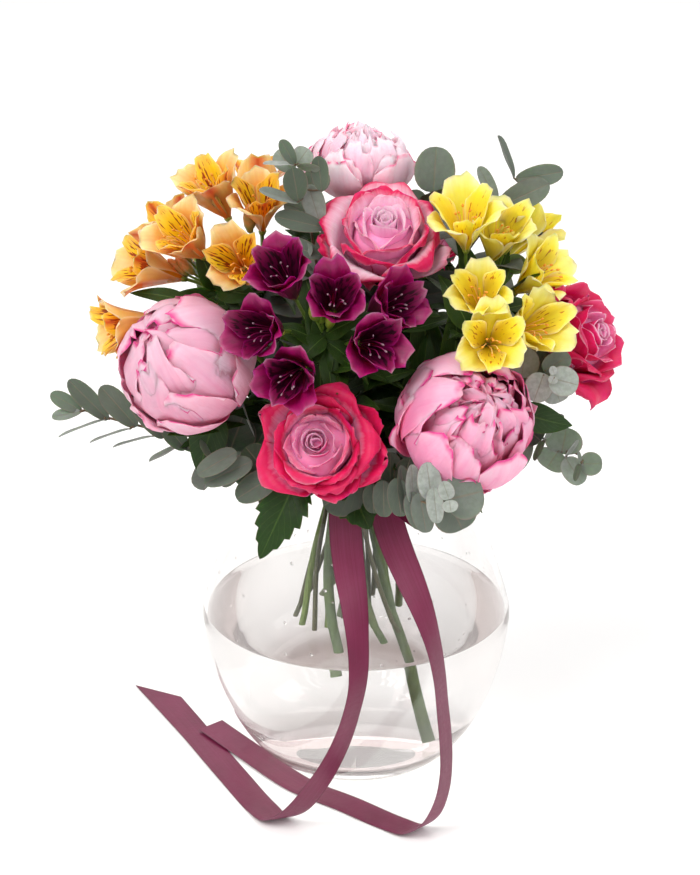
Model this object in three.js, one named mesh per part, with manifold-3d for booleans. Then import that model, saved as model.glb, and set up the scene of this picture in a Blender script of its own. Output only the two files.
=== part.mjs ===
// A hand-tied bouquet of peonies, roses, alstroemeria and eucalyptus in a round glass vase.
// Millimetres, +Z up. X runs to the right of the bouquet's front view and Y to its back.
// The origin is the middle of the vase's foot, on the surface that it stands on.

import * as THREE from 'three';
import { mergeVertices } from 'three/addons/utils/BufferGeometryUtils.js';
import Module from 'manifold-3d';

const wasm = await Module();
wasm.setup();

// ---- driving dimensions ----

const gap = 0.3;

const vase = {
  height: 207, bellyRadius: 100, bellyHeight: 101, footRadius: 50, rimRadius: 64,
  wall: 3, base: 13, lowerCurve: 1.68, upperCurve: 1.15, sides: 30,
};
const waterLevel = 102.5;

// The stems are tied at the waist, run parallel through the tie, and fan out above and below it.
const tie = { height: 197, halfLength: 13, innerRadius: 19.9, twist: 35, fanHeight: 100 };
const band = { height: 12, middle: 194 };
const stemRings = [
  { radius: 4.6, fanRadius: 11 },
  { radius: 10.4, fanRadius: 23 },
  { radius: null, fanRadius: 37 },   // against the band
];
const stemRadius = { peony: 3.4, rose: 2.6, alstroemeria: 2.2, eucalyptus: 1.7 };
const stemSides = { peony: 6, rose: 6, alstroemeria: 5, eucalyptus: 4 };

const ribbonWidth = 20;
const ribbonThickness = 1;

const colours = {
  glass: 0xeef2f1, water: 0xe9f0ee, plum: 0x7a3350, peony: 0xf0a6c4, rose: 0xd65a90,
  roseEdge: 0xd81f63, orange: 0xf0913a, burgundy: 0x6b1440, yellow: 0xf6d23e,
  stem: 0x6f8f45, leaf: 0x2f4f25, eucalyptus: 0x83948a,
};

const group = new THREE.Group();

// ---- helpers ----

const v = (x, y, z) => new THREE.Vector3(x, y, z);
const radians = THREE.MathUtils.degToRad;
const around = (radius, degrees, z) =>
  v(radius * Math.cos(radians(degrees)), radius * Math.sin(radians(degrees)), z);

function add(name, geometry, colour, roughness = 0.6) {
  const material = new THREE.MeshStandardMaterial({ color: colour, roughness, metalness: 0 });
  const mesh = new THREE.Mesh(geometry, material);
  mesh.name = name;
  group.add(mesh);
  return mesh;
}

function toSolid(geometry) {
  const bare = geometry.clone();
  bare.deleteAttribute('normal');
  bare.deleteAttribute('uv');
  const merged = mergeVertices(bare, 1e-4);
  return new wasm.Manifold(new wasm.Mesh({
    numProp: 3,
    vertProperties: new Float32Array(merged.attributes.position.array),
    triVerts: new Uint32Array(merged.index.array),
  }));
}

function toGeometry(solid) {
  const mesh = solid.getMesh();
  const geometry = new THREE.BufferGeometry();
  geometry.setAttribute('position', new THREE.BufferAttribute(new Float32Array(mesh.vertProperties), 3));
  geometry.setIndex(Array.from(mesh.triVerts));
  geometry.computeVertexNormals();
  return geometry;
}

const joined = (geometries) => toGeometry(
  geometries.map(toSolid).reduce((whole, next) => whole.add(next)));

function closed(positions, triangles) {
  const geometry = new THREE.BufferGeometry();
  geometry.setAttribute('position', new THREE.Float32BufferAttribute(positions, 3));
  geometry.setIndex(triangles);
  return geometry;
}

// A round tube along points, closed at both ends.
function tube(points, radius, steps, sides) {
  const section = new THREE.Shape(
    Array.from({ length: sides }, (_, i) => {
      const a = (i / sides) * Math.PI * 2;
      return new THREE.Vector2(radius * Math.cos(a), radius * Math.sin(a));
    }));
  const path = new THREE.CatmullRomCurve3(points, false, 'centripetal');
  return new THREE.ExtrudeGeometry(section, { extrudePath: path, steps, bevelEnabled: false });
}

// Turns a shape built along +Z so that it points along a direction, and moves it to a place.
function aimed(geometry, place, direction, roll = 0) {
  const turn = new THREE.Quaternion().setFromUnitVectors(v(0, 0, 1), direction.clone().normalize());
  geometry.rotateZ(radians(roll));
  geometry.applyQuaternion(turn);
  return geometry.translate(place.x, place.y, place.z);
}

// A solid of rings round +Z between two poles. Each ring is [radius, height]; lobes wave its edge.
function blossom(rings, sides, lobes = 0, wave = 0) {
  const positions = [0, 0, rings[0][1]];
  const triangles = [];
  const inner = rings.slice(1, -1);
  for (const [radius, height] of inner) {
    for (let i = 0; i < sides; i += 1) {
      const a = (i / sides) * Math.PI * 2;
      const r = radius * (1 + wave * Math.cos(lobes * a));
      positions.push(r * Math.cos(a), r * Math.sin(a), height);
    }
  }
  positions.push(0, 0, rings.at(-1)[1]);
  const at = (ring, i) => 1 + ring * sides + (i % sides);
  const last = 1 + inner.length * sides;
  for (let i = 0; i < sides; i += 1) {
    triangles.push(0, at(0, i + 1), at(0, i));
    for (let k = 0; k + 1 < inner.length; k += 1) {
      triangles.push(at(k, i), at(k, i + 1), at(k + 1, i + 1), at(k, i), at(k + 1, i + 1), at(k + 1, i));
    }
    triangles.push(last, at(inner.length - 1, i), at(inner.length - 1, i + 1));
  }
  return closed(positions, triangles);
}

// A thin leaf that is thickest in the middle: an oval outline with a ridge point on either face.
function leafSolid(root, direction, face, length, width, thickness = 1.4) {
  const along = direction.clone().normalize();
  const up = face.clone().addScaledVector(along, -face.dot(along)).normalize();
  const across = along.clone().cross(up);
  const count = 6;
  const positions = [];
  const triangles = [];
  for (let i = 0; i < count; i += 1) {
    const a = (i / count) * Math.PI * 2;
    const p = root.clone()
      .addScaledVector(along, (length / 2) * (1 - Math.cos(a)))
      .addScaledVector(across, (width / 2) * Math.sin(a));
    positions.push(p.x, p.y, p.z);
  }
  for (const side of [1, -1]) {
    const p = root.clone().addScaledVector(along, length / 2).addScaledVector(up, side * thickness / 2);
    positions.push(p.x, p.y, p.z);
  }
  for (let i = 0; i < count; i += 1) {
    const next = (i + 1) % count;
    triangles.push(count, i, next, count + 1, next, i);
  }
  return closed(positions, triangles);
}

// ---- vase and water ----

function vaseOuterRadius(z) {
  if (z < vase.bellyHeight) {
    const t = 1 - z / vase.bellyHeight;
    return vase.footRadius + (vase.bellyRadius - vase.footRadius)
      * (1 - t ** vase.lowerCurve) ** (1 / vase.lowerCurve);
  }
  const t = (z - vase.bellyHeight) / (vase.height - vase.bellyHeight);
  return vase.rimRadius + (vase.bellyRadius - vase.rimRadius) * (1 - t ** vase.upperCurve);
}

const heights = (from, to, count) =>
  Array.from({ length: count }, (_, i) => from + ((to - from) * i) / (count - 1));

// The cavity starts flat over the thick base and rounds up into the wall.
const cavityFoot = [[0, 0], [52, 0.5], [64, 4], [70.5, 10]];
const wallStart = 34;

const wallHeights = [...heights(wallStart, waterLevel, 5), ...heights(136, vase.height - 3, 3)];

function cavityProfile(inset, top) {
  const foot = cavityFoot.map(([r, z]) => [Math.max(r - inset, 0), vase.base + z + inset]);
  const side = wallHeights.filter((z) => z <= top)
    .map((z) => [vaseOuterRadius(z) - vase.wall - inset, z]);
  return [...foot, ...side];
}

function lathe(profile) {
  const points = profile.map(([r, z]) => new THREE.Vector2(r, z));
  return new THREE.LatheGeometry(points, vase.sides).rotateX(Math.PI / 2);
}

function glassVase() {
  const outer = [[0, 0], [46, 0], ...heights(3, vase.height - 3, 9).map((z) => [vaseOuterRadius(z), z])];
  const rimMiddle = vase.rimRadius - vase.wall / 2;
  const rim = [[rimMiddle + 1, vase.height], [rimMiddle - 1, vase.height]];
  const inner = cavityProfile(0, vase.height - 3).reverse();
  return lathe([...outer, ...rim, ...inner]);
}

// ---- stems ----

// Each stem: its kind, ring and bearing in the bundle, where its foot ends, and the point and
// direction in which it reaches what it carries. "by" adds points that it passes on the way.
const stems = {
  peony_back: { kind: 'peony', ring: 0, bearing: 95, foot: 78 },
  rose_top: { kind: 'rose', ring: 0, bearing: 275, foot: 84 },
  eucalyptus_top_left: { kind: 'eucalyptus', ring: 0, bearing: 185, foot: 90 },
  eucalyptus_top_right: { kind: 'eucalyptus', ring: 0, bearing: 5, foot: 92 },

  orange_right: { kind: 'alstroemeria', ring: 1, bearing: 182, foot: 86 },
  burgundy: { kind: 'alstroemeria', ring: 1, bearing: 240, foot: 80 },
  yellow_front: { kind: 'alstroemeria', ring: 1, bearing: 318, foot: 88 },
  yellow_back: { kind: 'alstroemeria', ring: 1, bearing: 348, foot: 82 },
  eucalyptus_far_right: { kind: 'eucalyptus', ring: 1, bearing: 25, foot: 94 },

  eucalyptus_back_left: { kind: 'eucalyptus', ring: 2, bearing: 145, foot: 88 },
  orange_left: { kind: 'alstroemeria', ring: 2, bearing: 168, foot: 90 },
  eucalyptus_left: { kind: 'eucalyptus', ring: 2, bearing: 188, foot: 92 },
  peony_left: { kind: 'peony', ring: 2, bearing: 210, foot: 76 },
  eucalyptus_low_left: { kind: 'eucalyptus', ring: 2, bearing: 232, foot: 95 },
  rose_front: { kind: 'rose', ring: 2, bearing: 254, foot: 84 },
  eucalyptus_front: { kind: 'eucalyptus', ring: 2, bearing: 275, foot: 90 },
  peony_right: { kind: 'peony', ring: 2, bearing: 298, foot: 18, fan: 26 },
  eucalyptus_coins: { kind: 'eucalyptus', ring: 2, bearing: 321, foot: 93 },
  eucalyptus_low_right: { kind: 'eucalyptus', ring: 2, bearing: 340, foot: 94 },
  rose_right: { kind: 'rose', ring: 2, bearing: 2, foot: 68 },
  eucalyptus_back_right: { kind: 'eucalyptus', ring: 2, bearing: 30, foot: 90 },
  rose_back: { kind: 'rose', ring: 2, bearing: 80, foot: 82 },
  eucalyptus_back: { kind: 'eucalyptus', ring: 2, bearing: 112, foot: 92 },
};

function ringRadius(stem) {
  return stemRings[stem.ring].radius ?? tie.innerRadius - 3 * gap - stemRadius[stem.kind];
}

// The stem's lower half, from its foot up through the tie.
function lowerRoute(stem) {
  const fanRadius = stem.fan ?? stemRings[stem.ring].fanRadius;
  const start = ringRadius(stem);
  const bottom = tie.height - tie.halfLength;
  const at = (z) => {
    const share = (bottom - z) / (bottom - tie.fanHeight);
    return around(start + (fanRadius - start) * share, stem.bearing + tie.twist * share, z);
  };
  const foot = at(stem.foot);
  return [foot, at((stem.foot + bottom) / 2), at(bottom), around(start, stem.bearing, tie.height),
    around(start, stem.bearing, tie.height + tie.halfLength)];
}

const lead = 12;

// The whole route: up through the tie, past the points given, and straight into what it carries.
function stemRoute(stem, by, end, direction) {
  const before = end.clone().addScaledVector(direction.clone().normalize(), -lead);
  return [...lowerRoute(stem), ...by, before, end];
}

const stemHoles = [];

function stemTube(stem, points) {
  const steps = 11;
  const sides = stemSides[stem.kind];
  const radius = stemRadius[stem.kind];
  const [foot, next] = points;
  const below = foot.clone().add(foot.clone().sub(next).setLength(6));
  const above = tie.height;
  const wet = points.filter((p) => p.z < above);
  stemHoles.push(tube([below, ...wet], radius + 2 * gap, 4, sides));
  return tube(points, radius, steps, sides);
}

// ---- peonies and roses ----

// Rings of [radius, height] from the base of the bloom to its top, for a bloom 1 mm in radius.
const peonyRings = [
  [0, -0.86], [0.5, -0.78], [0.86, -0.45], [1, -0.02], [0.93, 0.42], [0.66, 0.78], [0.3, 0.92], [0, 0.9],
];
const roseRings = [
  [0, -0.74], [0.34, -0.68], [0.66, -0.3], [0.9, 0.1], [1, 0.3], [0.86, 0.42], [0.5, 0.46], [0, 0.44],
];
const bloomForm = {
  peony: { rings: peonyRings, depth: 0.86, sides: 16, lobes: 5, wave: 0.05, colour: colours.peony },
  rose: { rings: roseRings, depth: 0.74, sides: 15, lobes: 5, wave: 0.06, colour: colours.rose },
};
const calyxReach = 7;

// Each bloom: middle, the way it faces, radius, the points its stem passes, and the leaves on the
// stem, each with its root, direction, the way its face looks, length and width.
const front = v(0, -0.9, 0.4);
const blooms = {
  peony_left: {
    at: v(-102, -70, 296), facing: v(-0.55, -0.5, 0.67), radius: 39,
    by: [v(-32, -22, 232), v(-58, -38, 255)],
    leaves: [[v(-58, -38, 255), v(-0.75, -0.6, -0.1), front, 58, 17]],
  },
  peony_right: {
    at: v(66, -86, 266), facing: v(0.35, -0.62, 0.7), radius: 39,
    by: [v(22, -34, 222)],
    leaves: [[v(26, -40, 226), v(0.55, -0.5, -0.22), front, 56, 14]],
  },
  peony_back: {
    at: v(3, 38, 398), facing: v(0, 0.1, 1), radius: 31,
    by: [v(1, 16, 290)],
    leaves: [],
  },
  rose_front: {
    at: v(-24, -105, 253), facing: v(-0.04, -0.92, 0.38), radius: 36,
    by: [v(-12, -34, 222), v(-18, -54, 232)],
    leaves: [
      [v(-17, -52, 231), v(-0.42, -0.75, -0.5), front, 62, 26],
      [v(-16, -50, 229), v(0.22, -0.8, -0.45), front, 44, 22],
    ],
  },
  rose_top: {
    at: v(17, -30, 366), facing: v(0, -0.57, 0.82), radius: 37,
    by: [v(9, -14, 290)],
    leaves: [],
  },
  rose_right: {
    at: v(138, -22, 294), facing: v(0.88, -0.2, 0.42), radius: 34,
    by: [v(46, -8, 240), v(78, -12, 262)],
    leaves: [[v(78, -12, 262), v(0.6, 0.75, 0.1), v(0, 0, 1), 44, 22]],
  },
  rose_back: {
    at: v(34, 74, 336), facing: v(0.25, 0.72, 0.64), radius: 35,
    by: [v(12, 36, 240), v(20, 50, 280)],
    leaves: [[v(14, 38, 246), v(0.5, 0.75, 0.2), v(0, 0.4, 0.9), 52, 26]],
  },
};

function addBloom(name, bloom) {
  const stem = stems[name];
  const form = bloomForm[stem.kind];
  const facing = bloom.facing.clone().normalize();
  const shape = blossom(form.rings, form.sides, form.lobes, form.wave);
  shape.scale(bloom.radius, bloom.radius, bloom.radius);
  add(`${name}_bloom`, aimed(shape, bloom.at, facing), form.colour, 0.55);

  const end = bloom.at.clone().addScaledVector(facing, -form.depth * bloom.radius - gap);
  const radius = stemRadius[stem.kind];
  const calyx = new THREE.ConeGeometry(radius * 2, calyxReach, 8, 1).rotateX(-Math.PI / 2);
  const pieces = [stemTube(stem, stemRoute(stem, bloom.by, end, facing))];
  pieces.push(aimed(calyx, end.clone().addScaledVector(facing, -calyxReach / 2 - 0.2), facing));
  bloom.leaves.forEach((leaf) => pieces.push(leafSolid(...leaf)));
  add(`${name}_stem`, joined(pieces), colours.stem);
}

Object.entries(blooms).forEach(([name, bloom]) => addBloom(name, bloom));

// ---- alstroemeria ----

// A floret is a six-lobed funnel. Rings of [radius, height], height 0 at its visible middle.
const floretRings = [[0, -20], [2.6, -20], [7, -5], [13.5, 15], [8, 6], [0, -2]];
const floretBase = 20;
const pedicelRadius = 1.2;
const umbelLead = 14;

// Each stem: the point where its flower stalks part, the points it passes, and the middles of
// its florets, each with the way that it faces.
const umbels = {
  orange_left: {
    colour: colours.orange, parting: v(-80, -10, 312), by: [v(-34, 0, 236), v(-62, -5, 278)],
    florets: [
      [v(-124, -22, 340), v(-0.85, -0.3, 0.42)], [v(-139, -34, 308), v(-0.85, -0.35, -0.05)],
      [v(-102, -34, 362), v(-0.45, -0.55, 0.7)], [v(-112, 28, 344), v(-0.6, 0.6, 0.5)],
    ],
    leaves: [[v(-72, -8, 298), v(-0.8, -0.45, -0.05), front, 46, 10]],
  },
  orange_right: {
    colour: colours.orange, parting: v(-60, 0, 322), by: [v(-30, 0, 250)],
    florets: [
      [v(-86, -4, 382), v(-0.35, -0.3, 0.85)], [v(-70, -44, 350), v(-0.1, -0.85, 0.45)],
      [v(-58, -8, 374), v(0, -0.45, 0.88)], [v(-62, 38, 370), v(-0.1, 0.65, 0.75)],
    ],
    leaves: [],
  },
  burgundy: {
    colour: colours.burgundy, parting: v(-18, -48, 296), by: [v(-12, -28, 246)],
    florets: [
      [v(-48, -74, 358), v(-0.35, -0.45, 0.8)], [v(-13, -86, 346), v(0.05, -0.75, 0.6)],
      [v(-60, -92, 326), v(-0.55, -0.75, 0.3)], [v(13, -95, 316), v(0.4, -0.85, 0.25)],
      [v(-40, -102, 300), v(-0.35, -0.92, 0.05)], [v(24, -74, 332), v(0.6, -0.55, 0.5)],
    ],
    leaves: [],
  },
  yellow_front: {
    colour: colours.yellow, parting: v(80, -36, 290), by: [v(38, -26, 244)],
    florets: [
      [v(72, -68, 342), v(-0.1, -0.65, 0.72)], [v(110, -58, 317), v(0.55, -0.65, 0.45)],
      [v(80, -84, 318), v(0.05, -0.9, 0.4)],
    ],
    leaves: [],
  },
  yellow_back: {
    colour: colours.yellow, parting: v(78, -8, 316), by: [v(44, -6, 256)],
    florets: [
      [v(67, -36, 377), v(-0.05, -0.35, 0.9)], [v(91, -22, 366), v(0.2, -0.35, 0.9)],
      [v(114, -30, 344), v(0.65, -0.35, 0.65)], [v(106, 24, 346), v(0.55, 0.6, 0.55)],
    ],
    leaves: [],
  },
};

function addUmbel(name, umbel) {
  const stem = stems[name];
  const { parting } = umbel;
  const upward = parting.clone().sub(umbel.by.at(-1)).normalize();
  const pieces = [stemTube(stem, stemRoute(stem, umbel.by, parting, upward))];
  umbel.florets.forEach(([at, facing], i) => {
    const direction = facing.clone().normalize();
    const shape = blossom(floretRings, 12, 6, 0.1);
    add(`${name}_floret_${i + 1}`, aimed(shape, at, direction), umbel.colour, 0.55);
    const base = at.clone().addScaledVector(direction, -floretBase - gap);
    const before = base.clone().addScaledVector(direction, -umbelLead);
    pieces.push(tube([parting.clone().addScaledVector(upward, -2), before, base], pedicelRadius, 4, 5));
  });
  umbel.leaves.forEach((leaf) => pieces.push(leafSolid(...leaf)));
  add(`${name}_stem`, joined(pieces), colours.stem);
}

Object.entries(umbels).forEach(([name, umbel]) => addUmbel(name, umbel));

// ---- eucalyptus ----

// Each sprig: the points its stem passes, its tip, the length that carries leaves, the number of
// leaf pairs, each pair turned a quarter from the last, and the leaves' length and width.
const sprigs = {
  eucalyptus_left: {
    by: [v(-50, -32, 228), v(-102, -50, 241), v(-146, -56, 254)], tip: v(-184, -58, 268),
    leafy: 100, pairs: 7, leaf: [25, 13], roll: 60,
  },
  eucalyptus_low_left: {
    by: [v(-32, -42, 222), v(-56, -62, 232)], tip: v(-86, -84, 228),
    leafy: 44, pairs: 3, leaf: [26, 20], roll: 20,
  },
  eucalyptus_top_left: {
    by: [v(-12, -6, 260), v(-23, -11, 330)], tip: v(-35, -19, 414),
    leafy: 72, pairs: 5, leaf: [22, 12], roll: 30,
  },
  eucalyptus_top_right: {
    by: [v(18, 4, 260), v(34, 8, 330)], tip: v(50, 14, 404),
    leafy: 60, pairs: 3, leaf: [27, 22], roll: 10,
  },
  eucalyptus_far_right: {
    by: [v(36, 10, 260), v(62, 16, 326)], tip: v(118, 2, 412),
    leafy: 62, pairs: 4, leaf: [28, 13], roll: 40,
  },
  eucalyptus_coins: {
    by: [v(40, -28, 226), v(84, -34, 250)], tip: v(120, -64, 282),
    leafy: 44, pairs: 4, leaf: [21, 19], roll: 10,
  },
  eucalyptus_low_right: {
    by: [v(48, -14, 226), v(98, -38, 240)], tip: v(148, -52, 224),
    leafy: 70, pairs: 4, leaf: [21, 18], roll: 30,
  },
  eucalyptus_front: {
    by: [v(4, -42, 224), v(8, -80, 224)], tip: v(50, -134, 230),
    leafy: 62, pairs: 5, leaf: [26, 20], roll: 25,
  },
  eucalyptus_back_left: {
    by: [v(-30, 26, 232), v(-64, 56, 264)], tip: v(-104, 88, 308),
    leafy: 90, pairs: 6, leaf: [26, 17], roll: 40,
  },
  eucalyptus_back: {
    by: [v(-12, 34, 230), v(-20, 68, 256)], tip: v(-28, 108, 292),
    leafy: 76, pairs: 5, leaf: [26, 20], roll: 15,
  },
  eucalyptus_back_right: {
    by: [v(34, 26, 230), v(70, 54, 256)], tip: v(112, 80, 286),
    leafy: 90, pairs: 6, leaf: [26, 18], roll: 50,
  },
};
const leafSplay = 62;

// The way leaf number "side" of a pair points: splayed from the stem, turned about it.
function leafDirections(tangent, turn) {
  const level = v(0, 0, 1).cross(tangent).normalize();
  const upper = tangent.clone().cross(level);
  return [0, 180].map((half) => {
    const a = radians(turn + half);
    const out = level.clone().multiplyScalar(Math.cos(a)).addScaledVector(upper, Math.sin(a));
    return tangent.clone().multiplyScalar(Math.cos(radians(leafSplay)))
      .addScaledVector(out, Math.sin(radians(leafSplay)));
  });
}

function addSprig(name, sprig) {
  const stem = stems[name];
  const last = sprig.by.at(-1);
  const ending = sprig.tip.clone().sub(last).normalize();
  const points = stemRoute(stem, sprig.by, sprig.tip, ending);
  const pieces = [stemTube(stem, points)];
  const path = new THREE.CatmullRomCurve3(points, false, 'centripetal');
  const length = path.getLength();
  const [leafLength, leafWidth] = sprig.leaf;
  for (let i = 0; i < sprig.pairs; i += 1) {
    const share = i / (sprig.pairs - 1);
    const u = 1 - (sprig.leafy * (1 - share) + 2) / length;
    const size = 1 - 0.45 * share ** 2;
    const tangent = path.getTangentAt(u);
    leafDirections(tangent, sprig.roll + 90 * i).forEach((direction) => {
      pieces.push(leafSolid(path.getPointAt(u), direction, tangent, leafLength * size, leafWidth * size));
    });
  }
  add(name, joined(pieces), colours.eucalyptus, 0.8);
}

Object.entries(sprigs).forEach(([name, sprig]) => addSprig(name, sprig));

// ---- ribbon ----

// Each station of a tail: the middle of the ribbon and the way to its right edge, in half widths.
const leftTail = [
  [v(-9, -31.6, 199), v(0.8, 0, 0)], [v(-9, -46, 206), v(0.8, 0, 0)], [v(-8, -60, 208.6), v(0.95, 0, 0)],
  [v(-7.5, -66.5, 207), v(0.98, 0, 0)], [v(-7, -73, 193), v(1, 0, 0)], [v(-6, -79, 179), v(1, 0.05, 0)],
  [v(-4, -86, 164), v(0.95, 0.3, 0)], [v(-1, -95, 146), v(0.8, 0.6, 0)],
  [v(1, -104, 126), v(0.65, 0.76, 0)], [v(1, -112, 104), v(0.6, 0.8, 0)],
  [v(-4, -114, 80), v(0.62, 0.78, -0.05)], [v(-12, -115, 57), v(0.7, 0.7, -0.15)],
  [v(-24, -115, 34), v(0.78, 0.58, -0.25)], [v(-38, -113, 14), v(0.82, 0.5, -0.25)],
  [v(-50, -105, 3.4), v(0.86, 0.48, -0.12)], [v(-60, -88, 0.8), v(0.89, 0.46, 0)],
  [v(-80, -48, 0.8), v(0.89, 0.46, 0)], [v(-107, 8, 0.8), v(0.89, 0.46, 0)],
  [v(-137, 68, 0.8), v(1.65, -0.85, 0)],
];
const rightTail = [
  [v(9, -31.6, 199), v(0.8, 0, 0)], [v(12, -46, 206), v(0.8, 0, 0)], [v(15, -60, 208.6), v(0.95, 0.05, 0)],
  [v(16.5, -66.5, 207), v(0.98, 0.15, 0)], [v(20, -74, 192), v(0.97, 0.2, 0.1)],
  [v(25, -79, 178), v(0.93, 0.3, 0.15)], [v(33, -85, 160), v(0.82, 0.55, 0.12)],
  [v(41, -92, 142), v(0.62, 0.78, 0.08)], [v(47, -99, 124), v(0.45, 0.89, 0)],
  [v(51, -104, 104), v(0.38, 0.92, 0)], [v(53, -107, 84), v(0.38, 0.92, 0)],
  [v(55, -111, 64), v(0.4, 0.91, 0)], [v(55.5, -115, 46), v(0.42, 0.9, -0.05)],
  [v(53, -119, 28), v(0.5, 0.85, -0.1)], [v(46, -121, 12), v(0.62, 0.77, -0.1)],
  [v(36, -117, 2.8), v(0.72, 0.7, -0.04)], [v(23, -107, 0.8), v(0.76, 0.65, 0)],
  [v(-6, -83, 0.8), v(0.72, 0.7, 0)], [v(-36, -60, 0.8), v(0.74, 0.68, 0)],
  [v(-69, -20, 1.6), v(0.76, 0.65, 0)], [v(-84, -2, 2.6), v(0.76, 0.65, 0)],
  [v(-98, 16, 3), v(0.76, 0.65, 0)],
];

function ribbonStrip(stations) {
  const steps = 2 * (stations.length - 1);
  const middles = new THREE.CatmullRomCurve3(stations.map(([at]) => at), false, 'centripetal');
  const edges = new THREE.CatmullRomCurve3(
    stations.map(([at, half]) => at.clone().addScaledVector(half, ribbonWidth / 2)), false, 'centripetal');
  const positions = [];
  const triangles = [];
  for (let i = 0; i <= steps; i += 1) {
    const t = i / steps;
    const middle = middles.getPoint(t);
    const half = edges.getPoint(t).sub(middle);
    const lift = middles.getTangent(t).cross(half).setLength(ribbonThickness / 2);
    for (const [side, face] of [[1, 1], [1, -1], [-1, -1], [-1, 1]]) {
      const p = middle.clone().addScaledVector(half, side).addScaledVector(lift, face);
      positions.push(p.x, p.y, p.z);
    }
    if (i === 0) continue;
    for (let k = 0; k < 4; k += 1) {
      const a = (i - 1) * 4 + k;
      const b = (i - 1) * 4 + ((k + 1) % 4);
      triangles.push(a, b + 4, b, a, a + 4, b + 4);
    }
  }
  const last = steps * 4;
  triangles.push(0, 1, 2, 0, 2, 3, last, last + 2, last + 1, last, last + 3, last + 2);
  return closed(positions, triangles);
}

function ribbonBand() {
  const [low, high] = [band.middle - band.height / 2, band.middle + band.height / 2];
  const inner = tie.innerRadius;
  const outer = inner + ribbonThickness;
  return lathe([[inner, low], [outer, low], [outer, high], [inner, high], [inner, low]]);
}

function ribbonKnot() {
  const radius = 4.8;
  const knot = new THREE.CapsuleGeometry(radius, 16, 3, 10).rotateZ(Math.PI / 2);
  return knot.translate(0, -tie.innerRadius - ribbonThickness - gap - radius, band.middle + 4);
}

add('ribbon_band', ribbonBand(), colours.plum, 0.4);
add('ribbon_knot', ribbonKnot(), colours.plum, 0.4);
add('ribbon_tail_left', ribbonStrip(leftTail), colours.plum, 0.4);
add('ribbon_tail_right', ribbonStrip(rightTail), colours.plum, 0.4);

// ---- vase and the water round the stems ----

add('glass_vase', glassVase(), colours.glass, 0.05);

const waterBody = toSolid(lathe([...cavityProfile(gap, waterLevel), [0, waterLevel]]));
add('water', toGeometry(stemHoles.reduce((whole, hole) => whole.subtract(toSolid(hole)), waterBody)),
  colours.water, 0.05);

export default group;
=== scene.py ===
import math
import random

import bpy
import numpy as np
from mathutils import Matrix, Vector


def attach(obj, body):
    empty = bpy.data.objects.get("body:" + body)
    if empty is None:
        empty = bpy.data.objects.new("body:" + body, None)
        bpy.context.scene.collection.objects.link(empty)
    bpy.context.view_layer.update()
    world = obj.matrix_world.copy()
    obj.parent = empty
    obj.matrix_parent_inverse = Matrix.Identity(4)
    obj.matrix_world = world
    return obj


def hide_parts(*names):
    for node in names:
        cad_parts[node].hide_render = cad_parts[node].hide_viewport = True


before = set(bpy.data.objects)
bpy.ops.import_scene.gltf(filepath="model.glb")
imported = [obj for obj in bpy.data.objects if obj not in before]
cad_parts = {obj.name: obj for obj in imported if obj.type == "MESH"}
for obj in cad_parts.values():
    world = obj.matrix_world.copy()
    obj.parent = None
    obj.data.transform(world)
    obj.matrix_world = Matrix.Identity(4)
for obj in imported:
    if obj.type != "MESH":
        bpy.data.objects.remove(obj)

# Mixed bouquet in a round glass vase. Sizes in the dictionaries are millimetres,
# +X right, +Y to the back, +Z up; every mesh is scaled to metres when it is made.
mm = 0.001
scene = bpy.context.scene
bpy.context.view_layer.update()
print("frame loaded:", len(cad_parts), "nodes")


def vec(*p):
    return np.array(p, float)


def unit(p):
    p = np.asarray(p, float)
    return p / max(np.linalg.norm(p), 1e-9)


def smoothPath(points, step=3.0):
    # centripetal Catmull-Rom curve through the points
    p = [np.asarray(q, float) for q in points]
    p = [2 * p[0] - p[1]] + p + [2 * p[-1] - p[-2]]
    out = []
    for a, b, c, d in zip(p, p[1:], p[2:], p[3:]):
        t1 = max(np.linalg.norm(b - a), 1e-6) ** 0.5
        t2 = t1 + max(np.linalg.norm(c - b), 1e-6) ** 0.5
        t3 = t2 + max(np.linalg.norm(d - c), 1e-6) ** 0.5
        n = max(2, int(round(np.linalg.norm(c - b) / step)))
        for k in range(n):
            t = t1 + (t2 - t1) * k / n
            a1 = a * (t1 - t) / t1 + b * t / t1
            a2 = b * (t2 - t) / (t2 - t1) + c * (t - t1) / (t2 - t1)
            a3 = c * (t3 - t) / (t3 - t2) + d * (t - t2) / (t3 - t2)
            b1 = a1 * (t2 - t) / t2 + a2 * t / t2
            b2 = a2 * (t3 - t) / (t3 - t1) + a3 * (t - t1) / (t3 - t1)
            out.append(b1 * (t2 - t) / (t2 - t1) + b2 * (t - t1) / (t2 - t1))
    out.append(p[-2])
    return np.array(out)


def facingFrame(facing, roll=0):
    # columns: local x (to the right), local y (up), local z (the way the flower faces)
    z = unit(facing)
    up = vec(0, 0, 1) if abs(z[2]) < 0.97 else vec(0, 1, 0)
    y = unit(up - z * np.dot(up, z))
    x = np.cross(y, z)
    c, s = math.cos(math.radians(roll)), math.sin(math.radians(roll))
    return np.stack([c * x + s * y, -s * x + c * y, z], axis=1)

def travelled(points):
    # how far along a path each of its points is
    steps = np.linalg.norm(np.diff(points, axis=0), axis=1)
    return np.concatenate([[0], np.cumsum(steps)])


def pointAt(where, gone, route):
    return vec(*[np.interp(where, gone, route[:, k]) for k in range(3)])


def placed(name, data):
    made = bpy.data.objects.new(name, data)
    scene.collection.objects.link(made)
    return made


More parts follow.
